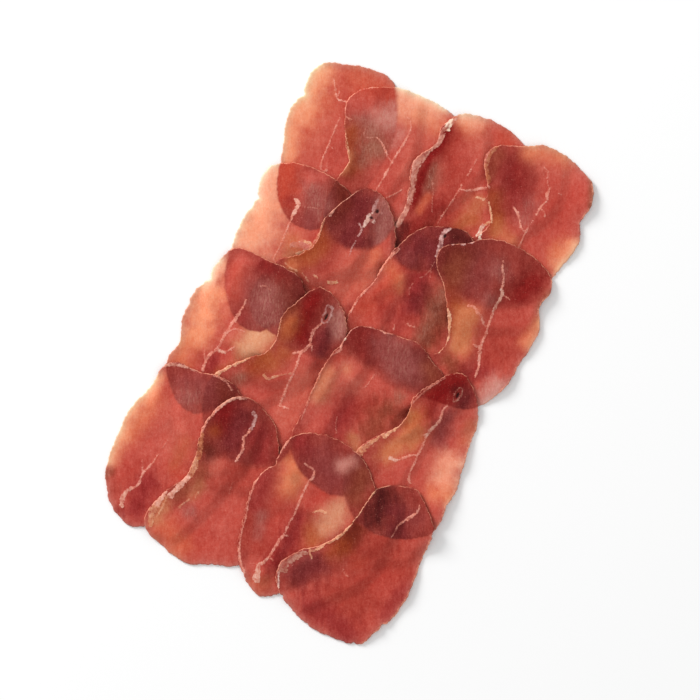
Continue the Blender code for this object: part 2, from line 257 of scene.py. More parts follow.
# Veins and rims of fat: strength, width at start and end, points, and the tone of all but veins
FAT = {"slice_r1c1": [
    (0.8, 0.6, 1.0, [(-66.5, 120), (-64, 116.5), (-61.5, 113), (-59.5, 112), (-56, 112.7)]),
    (0.5, 0.5, 0.5, [(-61.5, 116), (-60.5, 112.5)]),
    (0.65, 0.6, 0.8, [(-55.3, 104), (-55, 98), (-54.5, 90), (-54.3, 84), (-53.8, 80)]),
    (0.7, 0.9, 1.2, [(-53.8, 80), (-52.8, 77), (-51, 76.3), (-49.8, 77.6)]),
    (0.5, 0.5, 0.5, [(-54.5, 89.5), (-51.5, 88.7)]),
    (0.3, 0.5, 0.4, [(-51.5, 84), (-50.5, 79)]),
], "slice_r1c2": [
    (0.65, 0.6, 0.8, [(-47, 125), (-50, 123), (-53, 120.3), (-55, 117), (-55.8, 113.5)]),
    (0.75, 0.7, 1.0, [(-55.6, 111), (-54.3, 107.5), (-52.2, 105.7), (-49.8, 105.6)]),
    (0.65, 0.5, 1.1, [(-25, 119), (-23, 118), (-21, 115), (-20.7, 110), (-21, 105)]),
    (0.8, 1.1, 0.7, [(-21, 105), (-21.6, 100), (-22.2, 95), (-22.4, 88), (-23, 79)]),
    (0.85, 0.6, 1.1, [(-34.5, 103.2), (-32, 102.5), (-29.7, 100.8), (-27.5, 99)]),
    (0.75, 1.1, 0.7, [(-27.5, 99), (-25, 97), (-22.8, 95.6)]),
    (0.35, 0.5, 0.5, [(-41.2, 105), (-40.8, 101.5), (-38, 101.2), (-35, 103)]),
    (0.65, 0.6, 0.8, [(-11.5, 85.5), (-13.5, 82.5), (-16.5, 78.5)]),
    (0.6, 0.5, 0.8, [(-50.5, 100), (-47, 95), (-44, 91), (-41.6, 87), (-42, 82), (-43, 78)], "cream"),
], "slice_r1c3": [
    (0.6, 1.8, 2.6, [(-3, 129), (-4.5, 124), (-6.4, 119.5), (-5.4, 114)], "pink_fat"),
    (0.6, 2.2, 3.6, [(-6.0, 113), (-8.8, 109), (-10.2, 104)], "pink_fat"),
    (0.6, 3.6, 2.8, [(-10.2, 104), (-10.2, 98), (-8.6, 92)], "pink_fat"),
    (0.6, 2.8, 2.4, [(-8.6, 92), (-6.4, 86), (-5.4, 80), (-5.6, 74), (-5.8, 68)], "pink_fat"),
    (0.8, 0.9, 1.1, [(-11.6, 106), (-12, 100), (-10.4, 94), (-7.8, 88), (-6.6, 82)], "pink_fat"),
    (0.7, 0.7, 0.9, [(-4.4, 120), (-4.6, 114), (-7.6, 108), (-8.2, 102)], "pink_fat"),
    (0.95, 2.8, 3.2, [(-4.3, 127.2), (-4.5, 123.6)], "ivory"),
    (0.85, 0.8, 1.6, [(36, 92), (34.6, 89.5), (33.2, 87.6)], "cream"),
    (0.9, 2.0, 2.6, [(33, 87), (32.6, 84.5), (33, 81.5), (33.4, 79)], "ivory"),
    (0.5, 0.6, 0.7, [(15.5, 117), (15.3, 112), (14.8, 106)]),
    (0.6, 0.9, 0.6, [(14.1, 100.5), (14.2, 98.5), (13.8, 93), (13, 88), (12.3, 82), (11.8, 78)]),
    (0.8, 0.7, 1.3, [(14.2, 98.4), (16.5, 98.6), (19, 99.8), (21.5, 101.5), (24, 103.5), (27, 104.6)]),
    (0.8, 1.0, 1.3, [(23.5, 98.3), (25.5, 98.8), (27, 98.9)], "cream"),
    (0.4, 0.5, 0.5, [(0, 96), (2.5, 92), (4.5, 87), (6.8, 82)]),
    (0.35, 0.6, 0.5, [(-3.5, 100), (-1.5, 96), (0, 92)], "grey_fat"),
], "slice_r1c4": [
    (0.4, 0.6, 0.8, [(32, 130.5), (28, 128.8), (24, 127.5), (21, 125), (19.4, 121)]),
    (0.6, 1.8, 3.2, [(21.5, 125), (20.4, 121), (20.6, 116), (22.4, 111), (25, 108)], "tan"),
    (0.6, 1.0, 1.0, [(19.4, 121), (19.6, 116), (21.5, 111), (24.5, 107), (27.3, 105.5)]),
    (0.8, 0.6, 1.0, [(30, 99), (32.5, 96), (34.6, 92.5), (36, 90.5)], "cream"),
    (0.85, 1.0, 1.5, [(36, 90.5), (34, 89), (32.8, 87)], "cream"),
    (0.95, 1.6, 2.6, [(32.8, 87), (32.4, 84.5), (33.2, 82), (34, 80)], "ivory"),
    (0.5, 0.6, 0.6, [(47.5, 126.5), (50, 125.5), (51.5, 122), (53, 119.5), (54.8, 118)]),
    (0.75, 1.3, 1.3, [(54.4, 118.5), (54.8, 115), (56, 112.3)]),
    (0.75, 1.2, 0.8, [(56, 112.3), (55.2, 110), (54.6, 107), (54.4, 103.5)]),
    (0.65, 0.8, 0.8, [(55, 107), (57, 106.5), (58.5, 104.7)]),
    (0.7, 0.6, 0.9, [(54, 100), (53.6, 96), (53.4, 90), (53.6, 85)]),
    (0.8, 1.4, 0.9, [(43, 101.5), (45, 100.3), (47, 98.5), (49, 96), (50.5, 94.2)]),
    (0.65, 0.9, 0.6, [(50.5, 94.2), (52.5, 93.4), (53.6, 95.5)]),
    (0.45, 0.6, 0.6, [(59.5, 118), (61, 117.8)]),
], "slice_r2c1": [
    (0.85, 2.2, 1.6, [(-56.6, 57.3), (-54.5, 56.3), (-54.8, 53), (-55.2, 50)], "pink_fat"),
    (0.85, 1.4, 0.9, [(-55.2, 50), (-54.8, 46), (-54.6, 42)]),
    (0.6, 0.8, 0.6, [(-54.6, 42), (-54.2, 37), (-54, 32), (-54, 26), (-51, 25.2), (-48, 25)]),
    (0.5, 3.0, 4.0, [(-48, 36.5), (-45, 38.5), (-42.5, 38.5)], "grey_pink"),
    (0.85, 1.2, 1.9, [(-48.5, 36.3), (-46.8, 38), (-45, 39.8), (-43, 40.8), (-41, 41)], "cream"),
    (0.6, 1.0, 1.4, [(-39.5, 48), (-39, 44), (-41, 37.5), (-45, 33.5)], "cream"),
    (0.5, 1.4, 1.4, [(-49, 28.5), (-45, 29.5), (-41, 27.5)], "sand"),
    (0.3, 0.5, 0.5, [(-51.5, 56), (-48, 57.5), (-44, 58.5)]),
], "slice_r2c2": [
    (0.65, 0.8, 1.3, [(-31, 76), (-33.5, 71), (-36, 67), (-37.8, 62), (-38, 58)], "pink_fat"),
    (0.3, 3.6, 4.0, [(-18.5, 77), (-17.4, 71), (-18.5, 66)], "grey_pink"),
    (0.6, 1.4, 2.4, [(-20, 75.5), (-20, 72.5), (-19.6, 69.5)], "lilac_fat"),
    (0.7, 1.4, 2.2, [(-19.6, 68), (-18, 66.6), (-17.4, 64.8)], "white_fat"),
    (0.7, 2.2, 1.2, [(-20.4, 66.2), (-20.2, 63.4), (-20.8, 60)], "white_fat"),
    (0.75, 0.8, 1.0, [(-23.2, 60.5), (-21.3, 59), (-20.8, 57), (-21, 55)], "lilac_fat"),
    (0.5, 0.7, 0.5, [(-21, 52), (-21.3, 48), (-20.8, 44)], "lilac_fat"),
    (0.8, 1.4, 2.4, [(-24.3, 27.6), (-22.5, 28.3), (-21.2, 29.2)], "cream"),
    (0.5, 1.0, 1.2, [(-48, 27), (-45, 25.6), (-41, 26)], "sand"),
    (0.45, 0.9, 0.7, [(-38, 26), (-35.5, 24.6), (-33, 23.2)], "cream"),
    (0.5, 1.0, 0.8, [(-32.5, 27.3), (-30, 27.2)], "cream"),
    (0.4, 0.8, 0.6, [(-40, 54.5), (-39.2, 50), (-38.5, 46)], "cream"),
], "slice_r2c3": [
    (0.85, 1.4, 2.6, [(18.6, 78), (17, 75.5), (16.4, 72.5)], "lilac_fat"),
    (0.8, 2.6, 1.2, [(16.4, 72.5), (17.5, 70), (18.3, 67), (18.6, 63)], "lilac_fat"),
    (0.35, 0.6, 0.5, [(19, 60), (18.5, 55), (17.5, 51.5), (15.5, 49.5)]),
    (0.3, 0.5, 0.5, [(14, 46.5), (13.5, 43), (15, 39.5)]),
    (0.3, 0.5, 0.5, [(19, 56), (20.5, 51)]),
    (0.5, 0.7, 0.9, [(20.3, 26.2), (22, 25.6), (24, 26.3)]),
    (0.4, 0.6, 0.6, [(14.6, 23), (15.4, 20.5)]),
    (0.8, 1.5, 0.9, [(0.3, 57.5), (-2.3, 52.5), (-3.2, 47), (-4, 41)]),
    (0.65, 0.8, 0.6, [(-4, 41), (-4.6, 36), (-6, 31), (-7.5, 25), (-7.6, 19)]),
], "slice_r2c4": [
    (0.8, 0.8, 1.2, [(21, 71.2), (23.5, 72), (26, 74), (27.5, 73.5), (29, 75.8), (31.8, 77)], "lilac_fat"),
    (0.85, 1.0, 2.8, [(35.4, 41.5), (37.6, 38.5), (39, 35), (40.2, 31)], "cream"),
    (0.8, 2.6, 1.0, [(40.2, 31), (41.4, 28.5), (41.4, 24), (40.6, 20)], "cream"),
    (0.5, 0.7, 0.9, [(25.5, 52.5), (27.2, 52.6), (28.2, 51)], "cream"),
    (0.85, 0.8, 1.2, [(49.5, 75.5), (51, 71.5), (53, 68.8), (54.3, 65.5), (55.3, 62.3)]),
    (0.9, 1.6, 1.3, [(55.3, 62.3), (56.5, 59.5), (56.2, 55), (56.2, 50)], "pink_fat"),
    (0.85, 1.2, 1.2, [(56.2, 50), (56.8, 45), (57.5, 41), (58, 36), (58.3, 31.5)]),
    (0.9, 1.5, 1.1, [(58.3, 31.5), (59.5, 28), (61, 24.5), (62, 21), (62.3, 17)]),
    (0.65, 0.9, 0.6, [(56.5, 59.3), (58.5, 59.9), (60.8, 59.5)]),
    (0.75, 1.2, 1.5, [(43.8, 47.5), (45.5, 48.3), (47.5, 48), (49.5, 46.5)]),
    (0.7, 1.1, 1.2, [(49.5, 46.5), (52, 45.3), (54.5, 43), (57, 41.5)]),
    (0.75, 0.9, 1.1, [(54.5, 31.5), (56.5, 31.2), (58.3, 31.8)]),
], "slice_r3c1": [
    (0.75, 0.8, 1.9, [(-57.5, 1.5), (-57.2, -2), (-57.8, -6), (-58.3, -10.5)]),
    (0.75, 1.8, 1.1, [(-58.3, -10.5), (-58.8, -15), (-59.5, -20), (-59.3, -25)]),
    (0.85, 1.2, 1.6, [(-59.5, -26), (-61, -29.5), (-62.3, -33), (-62, -37), (-61.6, -39.5)]),
    (0.9, 1.4, 2.0, [(-59.5, -27), (-57.5, -27.3), (-55.8, -26.9)], "pink_fat"),
    (0.75, 1.5, 0.8, [(-55.8, -26.9), (-54, -24.5), (-52.3, -22)]),
    (0.45, 0.6, 0.8, [(-65.2, -30), (-63.8, -33), (-62.5, -35.5)]),
    (0.5, 0.9, 0.6, [(-58, -15.8), (-55.5, -13.6), (-51.5, -13)]),
    (0.5, 0.9, 0.7, [(-54, 10.5), (-52, 12), (-48.5, 11.3)]),
], "slice_r3c2": [
    (0.85, 1.2, 2.2, [(-43.5, -23.5), (-46, -26.5), (-49, -30)], "sand"),
    (0.85, 1.8, 2.8, [(-50.5, -32), (-52.5, -35), (-54.5, -38.5)], "cream"),
    (0.6, 1.4, 0.9, [(-19.8, 16.8), (-17, 16.6), (-15.8, 13.2), (-16, 9)], "lilac_fat"),
    (0.45, 0.8, 0.9, [(-16.4, 9), (-18, 7.9), (-19.2, 9.6), (-19.2, 13.4), (-19.8, 16.4)], "lilac_fat"),
    (0.75, 1.2, 1.6, [(-18.2, 7.5), (-19.5, 5), (-20.3, 2), (-19.8, -1.5), (-18.9, -4.5)]),
    (0.75, 1.3, 1.5, [(-18.9, -4.5), (-19.8, -7), (-21, -9.8)]),
    (0.75, 1.1, 1.5, [(-24.6, -12), (-22.6, -10.7), (-21, -10)]),
    (0.75, 1.0, 0.9, [(-21.3, -10.5), (-20.8, -14), (-20.2, -19), (-20.2, -25)]),
    (0.75, 0.9, 1.4, [(-20.2, -25), (-19.8, -31), (-19.5, -36), (-18.9, -38.8)]),
    (0.8, 1.3, 1.0, [(-19.4, -38.8), (-17.3, -38.6), (-15, -38)]),
    (0.5, 0.8, 0.6, [(-20, -6), (-18, -4.5), (-16.8, -7)]),
    (0.5, 1.3, 0.7, [(-33, -28.2), (-31, -29.3), (-28.5, -27.5), (-26, -25), (-21, -21.5)], "cream"),
    (0.45, 0.6, 0.8, [(-37.3, 0), (-36.2, -5), (-35.2, -11), (-36.5, -16), (-40, -21)], "cream"),
], "slice_r3c3": [
    (0.75, 1.2, 1.2, [(-4, 0), (-5, 3), (-4.6, 8), (-3.5, 12), (-1, 15), (3, 16.5)]),
    (0.7, 1.0, 0.9, [(3, 16.5), (8, 17.3), (12.5, 17.2), (16, 19)]),
    (0.85, 1.5, 1.9, [(-6.3, 5.4), (-4.6, 5.8)], "ivory"),
    (0.6, 1.0, 0.7, [(-4.4, -0.8), (-6.5, -4), (-8, -7), (-8.2, -12)]),
    (0.35, 0.6, 0.6, [(-8.2, -12), (-7.6, -18), (-7.6, -25), (-7, -32), (-6.5, -40)]),
    (0.5, 0.6, 0.6, [(16.5, -2.5), (16.3, -6), (15.3, -11.5)]),
    (0.3, 0.5, 0.6, [(9, -31), (10.5, -35.5), (12.5, -38.5)]),
], "slice_r3c4": [
    (0.85, 1.0, 2.4, [(39.6, -18.5), (38, -23), (36, -26.5), (34.6, -29)], "cream"),
    (0.85, 1.6, 3.4, [(32.4, -31), (30.4, -35), (28.4, -38.5), (27, -42)], "sand"),
    (0.4, 0.7, 0.7, [(49, 10), (46.5, 6), (43.5, 1), (41, -5), (39.6, -11), (40, -17)]),
    (0.55, 0.6, 0.7, [(57.4, 8.8), (59.2, 9), (60.2, 6), (59.4, 2.3), (58, 1.2)], "grey_fat"),
    (0.4, 0.5, 0.5, [(57.8, 1.5), (56.9, 4), (57, 6.8), (57.6, 8.6)], "grey_fat"),
    (0.75, 0.8, 1.4, [(56, -2), (55.3, -5), (56, -9), (55.3, -12.5)]),
    (0.9, 1.4, 1.8, [(55.3, -12.5), (54.2, -16), (53.3, -19.6)], "pink_fat"),
    (0.6, 0.7, 0.9, [(51.5, -20.3), (53.3, -20)]),
    (0.75, 0.9, 0.9, [(53.6, -20), (53.8, -26), (53.8, -31), (54, -36), (54.3, -41)]),
    (0.75, 1.0, 1.2, [(54.3, -41), (55.3, -44), (57, -45)]),
    (0.75, 0.9, 1.3, [(53.8, -31.2), (51.5, -31.5), (49, -34), (46.5, -36.5)]),
    (0.85, 1.4, 2.0, [(46.5, -36.5), (44.5, -38), (42.3, -37.8)], "pink_fat"),
], "slice_r4c1": [
    (0.75, 1.6, 1.2, [(-80, -46), (-76, -43.5), (-71, -42), (-66, -41.2), (-61, -40)], "pink_fat"),
    (0.6, 1.0, 0.9, [(-61, -40), (-55, -39.2), (-49, -39.5), (-44, -42)]),
    (0.75, 0.6, 1.1, [(-63.3, -87), (-63.8, -92), (-65, -96), (-66, -100), (-65.3, -103.5)]),
    (0.8, 1.0, 1.5, [(-65.3, -103.5), (-65.8, -106), (-68, -108.5)]),
    (0.9, 1.6, 2.4, [(-68, -108.5), (-69.3, -111.5), (-69.5, -115), (-68.5, -118)], "pink_fat"),
    (0.45, 0.5, 0.7, [(-69, -93), (-67.5, -96.5), (-66.3, -98.5)]),
    (0.3, 0.5, 0.5, [(-62, -79), (-63, -84)]),
], "slice_r4c2": [
    (0.8, 1.2, 2.2, [(-36, -43), (-40, -44.5), (-43.5, -48), (-46, -52)], "pink_fat"),
    (0.75, 1.8, 1.2, [(-46, -52), (-47.6, -57.5), (-48.4, -63), (-48.2, -67)]),
    (0.75, 1.6, 3.4, [(-47.8, -68), (-46.4, -72), (-45.2, -76), (-44.4, -80)], "tan"),
    (0.7, 3.2, 3.2, [(-44.8, -80), (-44, -85), (-43.8, -89)], "sand"),
    (0.9, 2.4, 3.0, [(-44.4, -90), (-45.6, -93.5), (-47, -98), (-48.6, -103)], "pink_fat"),
    (0.85, 1.6, 3.8, [(-51.4, -102.5), (-52.4, -106), (-53, -111)], "pink_fat"),
    (0.75, 3.8, 2.6, [(-53, -111), (-52.8, -116), (-51.4, -120)], "sand"),
    (0.4, 0.8, 0.8, [(-50, -104), (-49.6, -109), (-50, -115)], "cream"),
    (0.85, 2.0, 1.5, [(-29, -47.5), (-27.3, -49.5), (-26.8, -52.5), (-27, -55.5)], "lilac_fat"),
    (0.85, 1.4, 1.2, [(-27, -55.5), (-27.5, -58.5), (-28.5, -60.5)]),
    (0.8, 1.5, 1.0, [(-28, -61), (-27, -64), (-26, -67), (-26.5, -70), (-26.5, -73.5)]),
    (0.5, 0.9, 0.7, [(-42, -106.5), (-41, -103.5), (-39, -100.5)], "cream"),
    (0.4, 0.7, 0.7, [(-36.8, -95), (-37, -98.5)], "cream"),
    (0.25, 0.5, 0.5, [(-23.5, -84), (-22.5, -90)]),
], "slice_r4c3": [
    (0.65, 0.7, 1.4, [(4.5, -59), (7, -59.5), (10, -60), (11.5, -61.8), (11.2, -65)]),
    (0.75, 0.8, 1.0, [(10.4, -66), (10.5, -72), (10.8, -78), (11.3, -84)]),
    (0.75, 0.9, 1.3, [(11.3, -84), (10.8, -90), (11, -95.5), (10.3, -99)]),
    (0.8, 1.2, 1.1, [(10.3, -99), (9.8, -103), (9.3, -107), (9, -110)]),
    (0.6, 1.0, 0.7, [(11, -96), (13.3, -95.3)]),
    (0.5, 0.9, 0.6, [(9, -108.5), (12, -110)]),
    (0.9, 1.4, 2.0, [(9, -110), (7.8, -113), (6.5, -114.6), (7, -117)], "pink_fat"),
    (0.9, 2.4, 3.0, [(7, -117), (7.5, -119.5), (8.6, -122)], "pink_fat"),
    (0.4, 0.7, 0.5, [(6.5, -114.2), (2.5, -115.8)]),
    (0.85, 1.0, 1.5, [(19, -79.3), (21, -77.8), (22.5, -76.9), (24.6, -76.7)], "cream"),
    (0.7, 1.0, 1.0, [(-7, -48), (-8, -55), (-8.8, -60), (-8.6, -65), (-9, -67)]),
    (0.7, 1.0, 1.0, [(-9, -67), (-11.2, -69.3), (-12.9, -73), (-13.3, -78), (-12.8, -84)]),
    (0.6, 0.9, 0.8, [(-12.8, -84), (-12, -89), (-10.5, -94), (-9, -101), (-8, -106)]),
    (0.7, 0.9, 1.0, [(-8, -106), (-6.5, -110.5), (-4, -115.5), (-1, -119), (2, -122)]),
], "slice_r4c4": [
    (0.6, 0.8, 0.9, [(42.4, -56), (41.4, -60), (40.5, -66), (40.2, -70), (38.8, -75)], "cream"),
    (0.8, 1.0, 2.8, [(39, -76), (37.8, -80), (36, -84), (33.4, -88)], "cream"),
    (0.85, 2.6, 1.4, [(33.4, -88), (31, -90.5), (29.6, -94), (27, -97)], "sand"),
    (0.65, 0.9, 0.9, [(25.8, -96.4), (27, -98.6), (28.8, -100)], "cream"),
    (0.7, 2.6, 4.6, [(24.5, -99), (21.6, -102.5), (19, -107), (17.8, -111)], "grey_fat"),
    (0.85, 0.8, 1.2, [(15.6, -110), (17.3, -114.6), (19.3, -119), (20.6, -122.5)], "white_fat"),
    (0.75, 1.2, 1.4, [(65.5, -53), (66, -56.5), (64.5, -59), (63, -62)]),
    (0.7, 1.3, 0.8, [(63, -62), (61.5, -64), (60.4, -66)]),
    (0.6, 0.8, 0.6, [(60.3, -66), (60.2, -70), (59.8, -73.5)]),
    (0.5, 0.8, 0.8, [(45, -98), (46.5, -99.5), (49, -100.6)]),
]}

# Holes in the fat where a vessel ran: centre and radii
HOLES = {
    "slice_r2c2": [Hole((-17.8, 70), (1.0, 1.1)), Hole((-19, 65.8), (1, 0.7))],
    "slice_r2c3": [Hole((18, 73.7), (0.8, 1.0))],
    "slice_r3c2": [Hole((-17.6, 11.5), (0.7, 2.0))],
    "slice_r3c4": [Hole((58.6, 5), (0.8, 1.7))],
}
